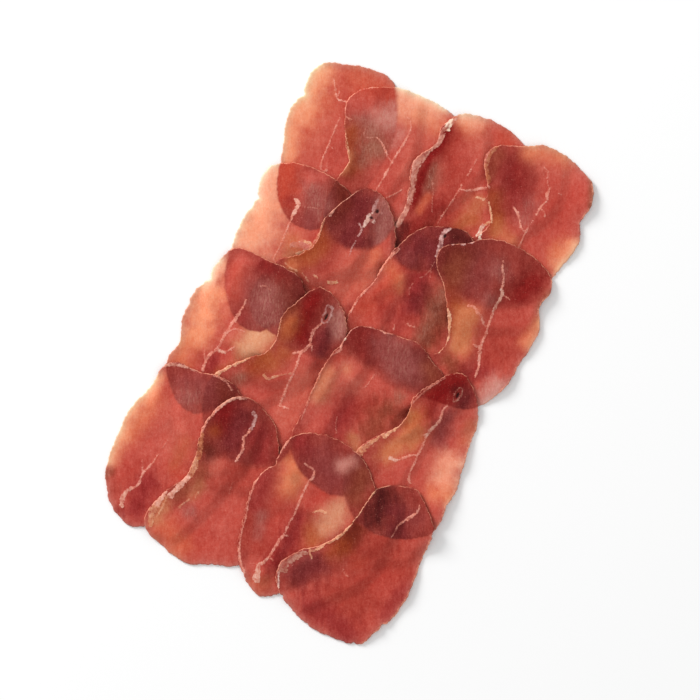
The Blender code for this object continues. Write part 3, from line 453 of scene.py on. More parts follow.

# Soft strokes where the meat's tone changes, and where light or shade is painted on it: tone, reach, strength
# and the points it runs through
STROKES = {"slice_r1c1": [
    ("orange", 9, 0.5, [(-67, 106), (-65, 88)]),
    ("coral", 7, 0.6, [(-60, 99), (-60, 84)]),
    ("red", 6, 0.4, [(-53, 85)]),
    ("brick", 4, 0.5, [(-48, 90)]),
    ("orange", 9, 0.5, [(-58, 126), (-46, 126)]),
    # Painted glow of light through the thin meat along the sheet's outer edge
    ("salmon", 7, 0.75, [(-74, 120), (-73, 98)]),
    ("peach", 5, 0.5, [(-77, 121), (-76, 104)]),
    ("salmon", 5, 0.6, [(-77, 97), (-71, 78)]),
    ("salmon", 3, 0.6, [(-76, 88), (-69, 74)]),
], "slice_r1c2": [
    ("vermilion", 9, 0.9, [(-49, 123), (-40, 124)]),
    ("rose", 6, 0.7, [(-51, 114), (-46, 116)]),
    ("brick", 4.5, 0.6, [(-41, 127), (-40, 120)]),
    ("mauve", 6, 0.7, [(-44, 106), (-40, 104)]),
    ("taupe", 5, 0.7, [(-38, 107), (-34, 102)]),
    ("sienna", 6, 0.8, [(-47, 100), (-40, 84)]),
    ("tan", 2.5, 0.7, [(-43, 88), (-42, 82)]),
    ("umber", 3, 0.4, [(-38, 90), (-38, 80)]),
    ("taupe", 5, 0.8, [(-37, 96), (-31, 98)]),
    ("taupe", 4, 0.7, [(-34, 90)]),
    # Painted glow of light through the thin meat along the sheet's outer edge
    ("pink_salmon", 6, 0.95, [(-32, 129), (-14, 129)]),
    ("pink_salmon", 6, 0.7, [(-32, 121), (-27, 122)]),
    ("salmon", 6, 0.5, [(-20, 122), (-10, 121)]),
    # Painted sheen
    ("grey_pink", 7, 0.95, [(-34, 114), (-28, 117)]),
    ("grey_pink", 3.5, 0.5, [(-25, 110), (-26, 104)]),
    ("coral", 6, 0.6, [(-14, 114), (-13, 94)]),
    ("rose", 5, 0.5, [(-27, 88)]),
    ("brick", 3, 0.5, [(-14, 79)]),
], "slice_r1c3": [
    ("red", 7, 0.7, [(3, 119), (6, 108)]),
    ("rose", 8, 0.4, [(11, 118)]),
    ("brick", 8, 0.5, [(10, 104), (12, 92)]),
    # Painted glow of light through the thin meat along the sheet's outer edge
    ("apricot", 5.5, 0.8, [(2, 129), (8, 129)]),
    ("pink_salmon", 4, 0.8, [(1, 131), (8, 131)]),
    ("coral", 8, 0.7, [(14, 124)]),
    ("vermilion", 5, 0.6, [(22, 132), (28, 128)]),
    ("brick", 4, 0.7, [(-1, 122), (0, 114)]),
    ("coral", 4, 0.4, [(0, 102), (1, 93)]),
    ("taupe", 4, 0.7, [(-3, 101), (0, 92)]),
    ("garnet", 3.2, 0.95, [(-3.5, 122), (-4, 114), (-6, 107), (-5.6, 97), (-4, 89), (-2.4, 80)]),
    ("garnet", 7, 0.75, [(8, 86), (5, 74), (0, 66)]),
    ("orange", 2.2, 0.7, [(1.6, 88), (0.6, 80)]),
    # Painted shadow in the gap where the slices above meet
    ("black_red", 3.5, 0.7, [(-3, 69), (-2, 60)]),
    ("brown", 6, 0.3, [(25, 94)]),
    ("honey", 5, 0.5, [(25, 96), (24, 86)]),
    ("amber", 4, 0.6, [(28, 88), (22, 82)]),
    ("brick", 4, 0.6, [(17, 84), (13, 78)]),
], "slice_r1c4": [
    ("crimson", 9, 0.65, [(31, 118), (42, 106)]),
    ("garnet", 5, 0.5, [(36, 120), (40, 113)]),
    ("brown", 4, 0.6, [(24, 122), (24, 112)]),
    ("mauve", 5, 0.5, [(50, 106), (50, 98)]),
    ("sienna", 5, 0.7, [(31, 102), (38, 93)]),
    ("amber", 3.5, 0.8, [(38, 92), (39, 86)]),
    ("honey", 4, 0.55, [(42, 88), (48, 87)]),
    # Painted glow of light through the thin meat along the sheet's outer edge
    ("apricot", 5, 0.7, [(38, 131), (54, 134)]),
    ("coral", 6, 0.45, [(48, 128), (60, 128)]),
    ("red", 11, 0.5, [(66, 118), (64, 108)]),
    # Painted glow of light through the thin meat along the sheet's outer edge
    ("salmon", 4.5, 0.8, [(77, 97), (76, 86)]),
    ("apricot", 5, 0.6, [(72, 92)]),
    ("brown", 2, 0.7, [(72, 131), (77, 120)]),
], "slice_r2c1": [
    ("mauve", 8, 0.7, [(-52, 66), (-46, 60)]),
    ("rose", 5, 0.6, [(-60, 72), (-50, 73)]),
    ("vermilion", 9, 0.95, [(-69, 69), (-64, 58)]),
    ("crimson", 3, 0.5, [(-60, 56)]),
    ("umber", 5, 0.7, [(-40, 74), (-35, 68)]),
    ("plum", 4.5, 0.6, [(-48, 51), (-45, 49)]),
    ("coral", 6, 0.6, [(-58, 38), (-58, 28)]),
    # Painted glow of light through the thin meat along the sheet's outer edge
    ("pink_salmon", 11, 0.97, [(-73, 64), (-70, 42), (-69, 28)]),
    ("salmon", 7, 0.5, [(-70, 46), (-72, 34)]),
    ("coral", 4, 0.5, [(-48, 43)]),
    ("honey", 5, 0.6, [(-49, 38), (-46, 33)]),
    ("amber", 4, 0.3, [(-43, 33), (-46, 29)]),
    ("sand", 5, 0.75, [(-47, 27)]),
], "slice_r2c2": [
    ("plum", 7, 0.5, [(-30, 58)]),
    ("umber", 6, 0.7, [(-32, 66), (-34, 60)]),
    ("maroon", 7, 0.85, [(-25, 70), (-24, 50)]),
    ("maroon", 5.5, 0.6, [(-13, 70), (-10, 58)]),
    ("sheen", 5, 0.55, [(-15, 74), (-12, 66), (-10, 58)]),
    ("maroon", 4, 0.6, [(-15, 54)]),
    ("sienna", 6, 0.85, [(-36, 50), (-38, 40), (-43, 31)]),
    ("amber", 3.5, 0.5, [(-33, 42), (-36, 34)]),
    ("brick", 5, 0.7, [(-27, 44), (-28, 32)]),
    ("coral", 7, 0.8, [(-18, 44), (-19, 32)]),
    ("apricot", 4, 0.5, [(-9, 50), (-9, 34)]),
    ("coral", 6, 0.8, [(-13, 26), (-10, 40)]),
    ("vermilion", 8, 0.25, [(-14, 44), (-14, 28)]),
    ("coral", 4, 0.3, [(-33, 27), (-28, 24)]),
    ("honey", 3.5, 0.5, [(-44, 27)]),
    # Painted shadow in the gap where the slices above meet
    ("garnet", 2.5, 0.6, [(-9, 21)]),
], "slice_r2c3": [
    ("maroon", 12, 0.9, [(8, 62), (14, 66)]),
    ("black_red", 5.5, 0.75, [(22, 78), (27, 77)]),
    ("plum", 4, 0.5, [(6, 55)]),
    ("vermilion", 7, 0.7, [(2, 44), (4, 32), (-2, 24)]),
    ("orange", 4, 0.8, [(2, 47), (8, 42)]),
    ("apricot", 2.2, 0.5, [(7, 46), (10, 39)]),
    ("crimson", 7, 0.5, [(7, 28), (16, 25)]),
    ("crimson", 8, 0.9, [(15, 50), (19, 36)]),
    ("maroon", 5, 0.7, [(22, 46), (20, 36)]),
    ("brick", 4, 0.5, [(20, 28)]),
    ("brown", 7, 0.8, [(30, 48), (33, 36), (33, 24)]),
    ("taupe", 4, 0.6, [(29, 48), (31, 36), (30, 24)]),
    ("umber", 5, 0.5, [(35, 42), (35, 26)]),
], "slice_r2c4": [
    ("umber", 7, 0.35, [(25, 69), (28, 60)]),
    ("brown", 6, 0.5, [(31, 68), (34, 60)]),
    ("plum", 8, 0.6, [(44, 68), (42, 60)]),
    ("mauve", 6, 0.5, [(50, 70)]),
    ("garnet", 8, 0.85, [(67, 72), (66, 62)]),
    ("brown", 3, 0.6, [(76, 70), (77, 62)]),
    ("brown", 5, 0.7, [(28, 60), (31, 55)]),
    ("sienna", 4.5, 0.8, [(32, 52), (37, 46)]),
    ("amber", 4.5, 0.8, [(40, 44), (43, 34)]),
    ("honey", 5.5, 0.95, [(46, 44), (49, 27)]),
    ("mauve", 4, 0.5, [(52, 55), (52, 50)]),
    ("brown", 4, 0.8, [(46, 19), (52, 16)]),
    ("brick", 10, 0.75, [(67, 44), (68, 30)]),
    ("rose", 5, 0.4, [(64, 50)]),
    # Painted glow of light through the thin meat along the sheet's outer edge
    ("apricot", 3.5, 0.8, [(79, 56), (78, 44)]),
    ("crimson", 5, 0.8, [(58, 17), (66, 21)]),
    # Painted sheen
    ("grey_pink", 5, 0.95, [(73, 18), (72, 10)]),
], "slice_r3c1": [
    ("rose", 8, 0.7, [(-68, 17), (-65, 4)]),
    ("vermilion", 5, 0.5, [(-68, 12), (-64, 2)]),
    ("garnet", 5.5, 0.8, [(-56, 20), (-47, 18)]),
    ("plum", 8, 0.5, [(-58, 7), (-50, 2)]),
    ("brown", 7, 0.3, [(-45, 13), (-40, 8)]),
    ("mauve", 8, 0.8, [(-49, 8), (-45, 0)]),
    ("crimson", 4, 0.5, [(-55, -7)]),
    # Painted glow of light through the thin meat along the sheet's outer edge
    ("salmon", 8, 0.95, [(-75, -4), (-72, -24)]),
    ("pink_salmon", 4, 0.9, [(-77, 12), (-78, 3)]),
    ("apricot", 6, 0.7, [(-75, -32), (-74, -40)]),
    ("coral", 5, 0.6, [(-55, -17)]),
    ("tan", 7, 0.9, [(-41, -8), (-46, -21)]),
    ("sand", 6.3, 0.95, [(-43, -11), (-46, -20)]),
    ("peach", 5, 0.35, [(-44, -12), (-46, -19)]),
    ("red", 4, 0.6, [(-54, -25)]),
    ("crimson", 4, 0.9, [(-59, -32), (-58, -37)]),
    ("brick", 3, 0.7, [(-65, -34)]),
    ("amber", 4, 0.7, [(-48, -33), (-52, -38)]),
], "slice_r3c2": [
    ("brown", 5, 0.6, [(-34, 8)]),
    ("garnet", 5.5, 0.9, [(-27, 17), (-25, -3)]),
    ("amber", 4.5, 0.75, [(-33, 2), (-33, -12)]),
    ("sheen", 5, 0.9, [(-12, 14), (-10, 7)]),
    ("maroon", 5, 0.9, [(-15, 3), (-12, -6)]),
    ("sienna", 6, 0.85, [(-38, -20), (-38, -28)]),
    ("amber", 5, 0.6, [(-29, -14), (-32, -22)]),
    ("crimson", 4, 0.7, [(-13, -13)]),
    ("coral", 8, 0.95, [(-14, -22), (-14, -40)]),
    ("vermilion", 8, 0.25, [(-13, -24), (-12, -40)]),
    ("brick", 5, 0.5, [(-26, -32)]),
    ("rose", 8, 0.6, [(-34, -38)]),
    ("taupe", 4, 0.6, [(-43, -35)]),
], "slice_r3c3": [
    ("garnet", 8, 0.6, [(3, 12), (8, 3)]),
    ("plum", 10, 0.75, [(16, 11), (28, 6)]),
    ("mauve", 8, 0.45, [(20, 12), (29, 5)]),
    ("brown", 5, 0.6, [(40, 12), (44, 8)]),
    ("vermilion", 4, 0.5, [(-4, -4)]),
    ("coral", 7, 0.8, [(4, -8), (11, -14)]),
    ("salmon", 3, 0.4, [(3, -8)]),
    ("rose", 6, 0.6, [(20, -11)]),
    ("coral", 6, 0.6, [(-3, -15), (-3, -26)]),
    ("tan", 4.5, 0.6, [(-4, -13), (-4, -26)]),
    ("crimson", 7, 0.85, [(13, -24), (11, -36)]),
    ("brick", 8, 0.7, [(22, -20)]),
    ("brown", 7, 0.75, [(30, -18), (27, -32)]),
    ("taupe", 4, 0.6, [(33, -8)]),
    ("umber", 2.5, 0.6, [(38, -14), (36, -22)]),
    ("rose", 5, 0.6, [(-1, -34), (2, -40)]),
    ("tan", 3, 0.7, [(21, -37), (25, -41)]),
], "slice_r3c4": [
    ("brown", 5, 0.6, [(45, 2)]),
    ("garnet", 8.5, 0.97, [(54, 11), (51, 2), (49, -7)]),
    ("maroon", 4.5, 0.8, [(63, 6), (64, 0)]),
    ("black_red", 3, 0.6, [(56, 7)]),
    ("garnet", 5, 0.85, [(49, -3), (50, -9)]),
    ("amber", 6, 0.9, [(44, -14), (46, -24)]),
    ("honey", 5.5, 0.9, [(48, -22), (40, -36)]),
    ("plum", 6, 0.85, [(59, -6), (61, -20)]),
    ("rose", 5, 0.5, [(66, -10)]),
    ("honey", 4, 0.3, [(71, -6), (72, -14)]),
    ("coral", 6, 0.6, [(63, -28)]),
    # Painted glow of light through the thin meat along the sheet's outer edge
    ("pink_salmon", 6.5, 0.75, [(70, -28), (71, -36)]),
    ("apricot", 5, 0.7, [(76, -42), (70, -44)]),
    ("rose", 5, 0.6, [(48, -41)]),
], "slice_r4c1": [
    ("plum", 7, 0.6, [(-66, -48), (-54, -46)]),
    ("mauve", 6, 0.6, [(-62, -55)]),
    ("umber", 4, 0.6, [(-50, -42), (-46, -46)]),
    ("coral", 8, 0.6, [(-64, -68), (-58, -78)]),
    ("rose", 8, 0.5, [(-68, -90)]),
    # Painted glow of light through the thin meat along the sheet's outer edge
    ("apricot", 5, 0.6, [(-78, -62), (-80, -86)]),
    ("salmon", 4, 0.8, [(-80, -54), (-85, -76), (-83, -100)]),
    ("amber", 4, 0.4, [(-53, -76), (-53, -88)]),
    ("vermilion", 4, 0.6, [(-50, -92)]),
    ("red", 8, 0.6, [(-72, -100)]),
    ("crimson", 7, 0.85, [(-61, -102), (-62, -117)]),
    ("brick", 4, 0.6, [(-76, -112)]),
    ("brown", 3, 0.6, [(-81, -106)]),
    ("garnet", 2.5, 0.6, [(-69, -121)]),
], "slice_r4c2": [
    ("garnet", 6, 0.85, [(-42, -52), (-40, -60)]),
    ("sienna", 4, 0.8, [(-43, -65)]),
    ("umber", 6, 0.93, [(-43, -73)]),
    ("maroon", 7, 0.8, [(-32, -52), (-32, -66)]),
    ("crimson", 6, 0.7, [(-20, -56), (-17, -66)]),
    ("black_red", 4, 0.6, [(-39, -70), (-39, -77)]),
    ("coral", 4.5, 0.7, [(-34, -80)]),
    ("brown", 5, 0.75, [(-40, -86), (-44, -100)]),
    ("tan", 3, 0.5, [(-37, -92), (-39, -98)]),
    ("brick", 8, 0.65, [(-22, -74), (-24, -86)]),
    ("rose", 9, 0.5, [(-20, -96), (-18, -108)]),
    ("red", 8, 0.6, [(-26, -118)]),
    ("orange", 7, 0.7, [(-44, -119), (-34, -124)]),
    ("mauve", 4, 0.6, [(-36, -106)]),
    ("tan", 3.5, 0.7, [(-50, -108), (-49, -117)]),
    # Painted shadow in the gap where the slices above meet
    ("garnet", 2, 0.6, [(-11, -52), (-10, -60)]),
], "slice_r4c3": [
    ("crimson", 5, 0.8, [(-2, -50), (3, -53)]),
    ("maroon", 9, 0.4, [(12, -54), (24, -60)]),
    ("plum", 9, 0.6, [(12, -54), (20, -60)]),
    # Painted highlight
    ("grey_pink", 3.5, 0.8, [(22, -52), (25, -49)]),
    ("brown", 6, 0.7, [(33, -53), (35, -64)]),
    ("sienna", 4, 0.6, [(-4, -60)]),
    ("apricot", 6, 0.95, [(1, -64), (3, -74)]),
    ("tan", 3, 0.6, [(4, -68)]),
    ("crimson", 5, 0.6, [(-9, -74), (-8, -88)]),
    ("brick", 4, 0.6, [(-8, -98), (-5, -108)]),
    ("red", 6, 0.8, [(22, -67), (18, -73)]),
    ("sand", 6.5, 0.8, [(30, -73), (27, -84)]),
    ("amber", 5.5, 0.8, [(20, -88), (25, -92)]),
    ("red", 7, 0.6, [(4, -84), (5, -102)]),
    ("sheen", 3, 0.35, [(-3, -92), (0, -102)]),
    ("crimson", 6, 0.9, [(15, -86), (14, -110)]),
    ("brick", 5, 0.6, [(4, -106)]),
    ("brown", 5, 0.5, [(14, -122)]),
    ("orange", 4.5, 0.5, [(10, -123)]),
], "slice_r4c4": [
    ("black_red", 7, 0.9, [(47, -57), (50, -68)]),
    ("maroon", 7, 0.8, [(58, -62), (62, -69)]),
    ("plum", 5, 0.5, [(67, -60)]),
    ("brick", 16, 0.6, [(54, -84), (60, -112)]),
    ("umber", 6.5, 0.93, [(43, -74), (42, -84)]),
    ("umber", 5, 0.4, [(40, -88)]),
    ("sienna", 5, 0.7, [(40, -88), (36, -94)]),
    ("plum", 6, 0.7, [(30, -101), (25, -107)]),
    ("maroon", 7, 0.7, [(27, -110), (33, -104)]),
    ("brick", 10, 0.7, [(58, -82), (72, -86)]),
    ("vermilion", 5, 0.5, [(50, -92)]),
    ("red", 9, 0.6, [(62, -96)]),
    ("brick", 9, 0.6, [(56, -110), (46, -114)]),
    ("crimson", 7, 0.75, [(38, -122), (62, -126)]),
    ("crimson", 4, 0.6, [(77, -94), (74, -110)]),
]}


def linear(code):
    """Linear colour of an sRGB hex code."""
    parts = [int(code[start:start + 2], 16) / 255 for start in (0, 2, 4)]
    return np.array([part / 12.92 if part <= 0.04045 else ((part + 0.055) / 1.055) ** 2.4 for part in parts])


def paint(code):
    """Linear colour to paint for a tone that looks like the hex code."""
    return np.clip(linear(code) * TONE_GAIN - GLOSS_SHARE, DARKEST, 1)


def tone(name):
    return paint(TONES[name])


def placed(points):
    """Places in metres of points given in millimetres from the laying centre."""
    return np.array(points, float) * MM + np.array(LAYING_CENTRE)


def smooth_run(points, steps, closed):
    """Dense points of a smooth curve through the given ones."""
    count = len(points)
    spans = count if closed else count - 1
    shares = np.arange(steps)[:, None] / steps
    curve = []
    for index in range(spans):
        picks = [index - 1, index, index + 1, index + 2]
        picks = [pick % count if closed else min(max(pick, 0), count - 1) for pick in picks]
        before, start, end, after = points[picks]
        turn = (end - before) * shares + (2 * before - 5 * start + 4 * end - after) * shares ** 2
        bend = (3 * start - before - 3 * end + after) * shares ** 3
        curve.append(start + 0.5 * (turn + bend))
    if not closed:
        curve.append(points[-1:])
    return np.vstack(curve)


def lengths_along(points):
    """Distance walked along a run of points, at each of them."""
    return np.concatenate([[0.0], np.cumsum(np.hypot(*np.diff(points, axis=0).T))])


def distance_to_run(points, x, y):
    """Distance from each place to a run of points, and the share of the run where it comes nearest."""
    if len(points) == 1:
        return np.hypot(x - points[0][0], y - points[0][1]), np.zeros(len(x))
    walked = lengths_along(points)
    nearest = np.full(len(x), np.inf)
    share_of_run = np.zeros(len(x))
    for start, end, low, high in zip(points, points[1:], walked, walked[1:]):
        run = end - start
        share = np.clip(((x - start[0]) * run[0] + (y - start[1]) * run[1]) / (run @ run), 0, 1)
        far = np.hypot(x - start[0] - share * run[0], y - start[1] - share * run[1])
        share_of_run = np.where(far < nearest, (low + share * (high - low)) / walked[-1], share_of_run)
        nearest = np.minimum(nearest, far)
    return nearest, share_of_run


def between(field, column, row):
    """Values of a grid between its points, held at its borders."""
    column = np.clip(column, 0, field.shape[0] - 1.001)
    row = np.clip(row, 0, field.shape[1] - 1.001)
    i, j = column.astype(int), row.astype(int)
    u, v = column - i, row - j
    near = field[i, j] * (1 - u) + field[i + 1, j] * u
    far = field[i, j + 1] * (1 - u) + field[i + 1, j + 1] * u
    return near * (1 - v) + far * v


def step_up(value, low, high):
    """Smooth step from 0 at low to 1 at high."""
    share = np.clip((value - low) / (high - low), 0, 1)
    return share * share * (3 - 2 * share)


def ripple(x, y, size, seed):
    """Smooth noise between -1 and 1 at each place, its waves about twice the given size."""
    rng = np.random.default_rng(seed)
    column, row = (x + FIELD_HALF_WIDTH) / size, (y + FIELD_HALF_LENGTH) / size
    columns = int(2 * FIELD_HALF_WIDTH / size) + 2
    rows = int(2 * FIELD_HALF_LENGTH / size) + 2
    lattice = rng.uniform(-1, 1, (columns, rows))
    whole_column, whole_row = np.floor(column), np.floor(row)
    return between(lattice, whole_column + step_up(column - whole_column, 0, 1),
                   whole_row + step_up(row - whole_row, 0, 1))


def ripples(x, y, seed, waves):
    """Sum of ripples, each with its size in millimetres and its height."""
    return sum(height * ripple(x, y, size * MM, seed + index) for index, (size, height) in enumerate(waves))


def mix(colours, added, weight):
    return colours + (added - colours) * weight[:, None]


def cad_rim(name):
    """Rim of the CAD slice seen from above: its points in order, clockwise."""
    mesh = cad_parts[name].data
    places = []
    links = []

    def known(place):
        for index, other in enumerate(places):
            if math.dist(place, other) < SAME_PLACE:
                return index
        places.append(place)
        links.append(set())
        return len(places) - 1

    for face in mesh.polygons:
        if abs(face.normal.z) < WALL_TILT:
            ends = {known(tuple(mesh.vertices[index].co[:2])) for index in face.vertices}
            if len(ends) == 2:
                for end in ends:
                    links[end] |= ends - {end}
    order = [0]
    while True:
        onward = [step for step in sorted(links[order[-1]]) if step not in order[1:]]
        onward = [step for step in onward if step != 0 or len(order) > 2]
        if not onward or onward[0] == 0:
            break
        order.append(onward[0])
    rim = np.array([places[index] for index in order])
    across, up = rim.T
    turned = np.sum(across * np.roll(up, -1) - up * np.roll(across, -1))
    return rim[::-1] if turned > 0 else rim


def crinkled(edge, seed, nicks):
    """The rim with the small waves and tears that the slicer leaves."""
    rng = np.random.default_rng(seed)
    walked = lengths_along(np.vstack([edge, edge[:1]]))
    around = walked[:-1] / walked[-1]
    offset = np.full(len(edge), RIM_OUTWARD)
    for wave in CRINKLE_WAVES:
        turns = max(2, round(walked[-1] / (wave.length * MM)))
        for spread in WAVE_SPREADS:
            phase = rng.uniform(0, 2 * math.pi)
            height = wave.height * MM * rng.uniform(*WAVE_SHARES)
            offset += height * np.sin(2 * math.pi * (turns + spread) * around + phase)
    for x, y, depth, half_width in nicks:
        far = np.hypot(*(edge - placed((x, y))).T) / (half_width * MM)
        offset -= depth * MM * np.clip(1 - far, 0, None)
    ahead, behind = np.roll(edge, -1, axis=0), np.roll(edge, 1, axis=0)
    run = ahead - behind
    outward = np.column_stack([-run[:, 1], run[:, 0]]) / np.hypot(*run.T)[:, None]
    return edge + outward * offset[:, None]


class Side:
    """One run of a rim, read by its share of the run's length."""

    def __init__(self, points):
        self.points = points
        walked = lengths_along(points)
        self.shares = walked / walked[-1]

    def at(self, shares):
        return np.column_stack([np.interp(shares, self.shares, self.points[:, axis]) for axis in (0, 1)])


class Sheet:
    """One slice seen from above: its rim, and how deep inside it a place is."""

    def __init__(self, name, seed):
        self.name = name
        self.row = name[:-2]
        self.edge = crinkled(smooth_run(cad_rim(name), EDGE_STEPS, closed=True), seed, NICKS.get(name, []))
        low, high = self.edge.min(axis=0), self.edge.max(axis=0)
        reach = (self.edge - (low + high) / 2) / ((high - low) / 2)
        corners = [int(np.argmax(reach @ np.array(way))) for way in ((-1, 1), (1, 1), (1, -1), (-1, -1))]
        edge = np.roll(self.edge, -corners[0], axis=0)
        marks = [(corner - corners[0]) % len(edge) for corner in corners] + [len(edge)]
        edge = np.vstack([edge, edge[:1]])
        self.crown, self.right, self.toe, self.waist = (
            Side(edge[start:end + 1]) for start, end in zip(marks, marks[1:]))
        self.low = low - DEPTH_MARGIN
        count = np.ceil((high - low + 2 * DEPTH_MARGIN) / DEPTH_PITCH).astype(int) + 2
        xs = self.low[0] + DEPTH_PITCH * np.arange(count[0])
        ys = self.low[1] + DEPTH_PITCH * np.arange(count[1])
        grid_x, grid_y = np.meshgrid(xs, ys, indexing="ij")
        self.depth = self.exact_depth(grid_x.ravel(), grid_y.ravel()).reshape(grid_x.shape)

    def exact_depth(self, x, y):
        """Distance to the rim, positive inside the slice."""
        nearest, _ = distance_to_run(np.vstack([self.edge, self.edge[:1]]), x, y)
        inside = np.zeros(x.shape, bool)
        for start, end in zip(self.edge, np.roll(self.edge, -1, axis=0)):
            if start[1] != end[1]:
                crossed = (start[1] > y) != (end[1] > y)
                crossing = start[0] + (y - start[1]) * (end[0] - start[0]) / (end[1] - start[1])
                inside ^= crossed & (x < crossing)
        return np.where(inside, nearest, -nearest)

    def depth_at(self, x, y):
        """Depth at any places, read between the points of its grid."""
        return between(self.depth, (x - self.low[0]) / DEPTH_PITCH, (y - self.low[1]) / DEPTH_PITCH)

    def grid(self):
        """Places of the slice's cells: stretched between its four sides, then evened out."""
        shares = np.linspace(0, 1, CELLS_ACROSS + 1), np.linspace(0, 1, CELLS_ALONG + 1)
        across, along = np.meshgrid(*shares, indexing="ij")
        places = self.place(across.ravel(), along.ravel()).reshape(*across.shape, 2)
        for _ in range(EVEN_ROUNDS):
            beside = places[:-2, 1:-1] + places[2:, 1:-1]
            places[1:-1, 1:-1] = (beside + places[1:-1, :-2] + places[1:-1, 2:]) / 4
        return places

    def place(self, across, along):
        """Places at shares of the way across, from the waist, and along, from the toe."""
        top, bottom = self.crown.at(across), self.toe.at(1 - across)
        left, right = self.waist.at(along), self.right.at(1 - along)
        a, b = across[:, None], along[:, None]
        corners = [side.points[0] for side in (self.crown, self.right, self.toe, self.waist)]
        high = corners[0] * (1 - a) + corners[1] * a
        low = corners[3] * (1 - a) + corners[2] * a
        return bottom * (1 - b) + top * b + left * (1 - a) + right * a - low * (1 - b) - high * b


def disc_steps(reach):
    """Whole steps of the pile's field that lie within a reach of one of its points."""
    count = int(reach / FIELD_PITCH)
    steps = range(-count, count + 1)
    return [(i, j) for i in steps for j in steps if math.hypot(i, j) * FIELD_PITCH <= reach]


class Pile:
    """Height field of the table and everything laid on it so far."""

    def __init__(self):
        self.xs = np.arange(-FIELD_HALF_WIDTH, FIELD_HALF_WIDTH, FIELD_PITCH)
        self.ys = np.arange(-FIELD_HALF_LENGTH, FIELD_HALF_LENGTH, FIELD_PITCH)
        self.grid_x, self.grid_y = np.meshgrid(self.xs, self.ys, indexing="ij")
        self.height = np.zeros(self.grid_x.shape)

    def spanned(self, reach):
        """The pile's height, kept up for a reach beyond each rim and then let down over twice the blend."""
        cover = self.height.copy()
        for step in disc_steps(reach + BLEND_REACH):
            np.maximum(cover, np.roll(self.height, step, axis=(0, 1)), out=cover)
        steps = disc_steps(BLEND_REACH)
        return sum(np.roll(cover, step, axis=(0, 1)) for step in steps) / len(steps)

    def drape(self, sheet):
        """Height field of a new slice's underside, clear of what lies under it: smooth in the middle, and
        hanging closer along its rim."""
        stiff = step_up(sheet.depth_at(self.grid_x, self.grid_y), 0, RIM_HANG)
        close = self.spanned(RIM_COVER_REACH)
        field = close + (self.spanned(COVER_REACH) - close) * stiff
        for x, y, reach, height in LIFTS.get(sheet.name, []):
            spot = placed((x, y))
            far = np.hypot(self.grid_x - spot[0], self.grid_y - spot[1]) / (reach * MM)
            field += height * MM * np.clip(1 - far ** 2, 0, None) ** 2
        return field

    def lay(self, sheet, field):
        """Raises the pile to the top of a laid slice and the gap above it."""
        covered = sheet.depth_at(self.grid_x, self.grid_y) > -FIELD_PITCH
        raised = np.maximum(self.height, field + THICKNESS + CONTACT_GAP)
        self.height = np.where(covered, raised, self.height)

    def at(self, field, x, y):
        return between(field, (x - self.xs[0]) / FIELD_PITCH, (y - self.ys[0]) / FIELD_PITCH)


def layers_below(x, y, own, below, seed):
    """Soft count of the slices under each place, how much painted shade of a hidden rim shows there, and how
    far the place lies over a slice whose hidden rim shows crisply."""
    aside = ripple(x, y, WANDER_SIZE, seed) * MM
    blur = BLURS.get(own.name, USUAL_BLUR)
    count = np.zeros(len(x))
    hidden_rim_shade = np.zeros(len(x))
    lapping = np.zeros(len(x))
    for sheet in reversed(below):
        beside = sheet.row == own.row
        crisp = not beside or blur.beside < CRISP_LIMIT
        depth = sheet.depth_at(x, y) + aside * (CRISP_WANDER * count if crisp else SOFT_WANDER)
        soft = blur.beside * MM if beside else blur.above * MM * (1 + BLUR_PER_LAYER * count)
        cover = step_up(depth, -soft, soft)
        if crisp:
            near = np.exp(-(depth / (EDGE_SHOW * (1 + count))) ** 2)
            hidden_rim_shade = np.maximum(hidden_rim_shade, near * np.exp(-EDGE_FADE * count))
            lapping = np.maximum(lapping, cover)
        count = count + cover * (SIDE_SHARE if beside else 1)
    return count, hidden_rim_shade, lapping


def lean_colour(x, y, sheet, count, hidden_rim_shade, lapping, seed):
    """Colour of the lean at each place, and how dry and glossy it looks: painted light through the layers
    below and painted shade of their hidden rims, then the slice's own strokes of tone, some of them painted
    glow, sheen or shadow. A stroke keeps to its own side of a hidden rim."""
    # Painted light through the meat: the fewer the layers below, the more the white table shines through
    tones = np.array([paint(code) for code in LAYERED_LIGHT_TONES])
    count = np.clip(count, 0, len(tones) - 1)
    colours = np.column_stack([np.interp(count, range(len(tones)), tones[:, part]) for part in range(3)])
    # Painted shade of the hidden rims below, seen through the meat
    colours = mix(colours, tone("umber"), HIDDEN_RIM_SHADE_STRENGTH * hidden_rim_shade)
    dry_and_sheen = np.zeros(len(x))
    along = x * math.cos(FIBRE_TURN) + y * math.sin(FIBRE_TURN)
    across = y * math.cos(FIBRE_TURN) - x * math.sin(FIBRE_TURN)
    fibres = ripples(along / FIBRE_STRETCH, across, seed + FIBRE_SEED, FIBRE_RIPPLES)
    wander = ripples(x, y, seed, STROKE_RIPPLES) + STROKE_FIBRES * fibres
    for stroke in [Stroke(*row) for row in STROKES[sheet.name]]:
        far, _ = distance_to_run(placed(stroke.points), x, y)
        far = np.clip(far / (stroke.reach * MM) + wander, 0, None)
        weight = stroke.strength * np.exp(-far ** STROKE_EDGE)
        over = np.sum(weight * lapping) > 0.5 * np.sum(weight)
        weight *= lapping if over else 1 - lapping
        colours = mix(colours, tone(stroke.tone), weight)
        dry_and_sheen = np.maximum(dry_and_sheen, weight) if stroke.tone in DRY_AND_SHEEN_TONES else dry_and_sheen * (1 - weight)
    mottle = MOTTLE * ripples(x, y, seed + MOTTLE_SEED, MOTTLE_RIPPLES)
    mottle = (mottle + FIBRE_SHARE * fibres) * (MOTTLE_TOP - colours[:, 0])
    return colours * (1 + mottle[:, None] * np.array(MOTTLE_TINT)), dry_and_sheen


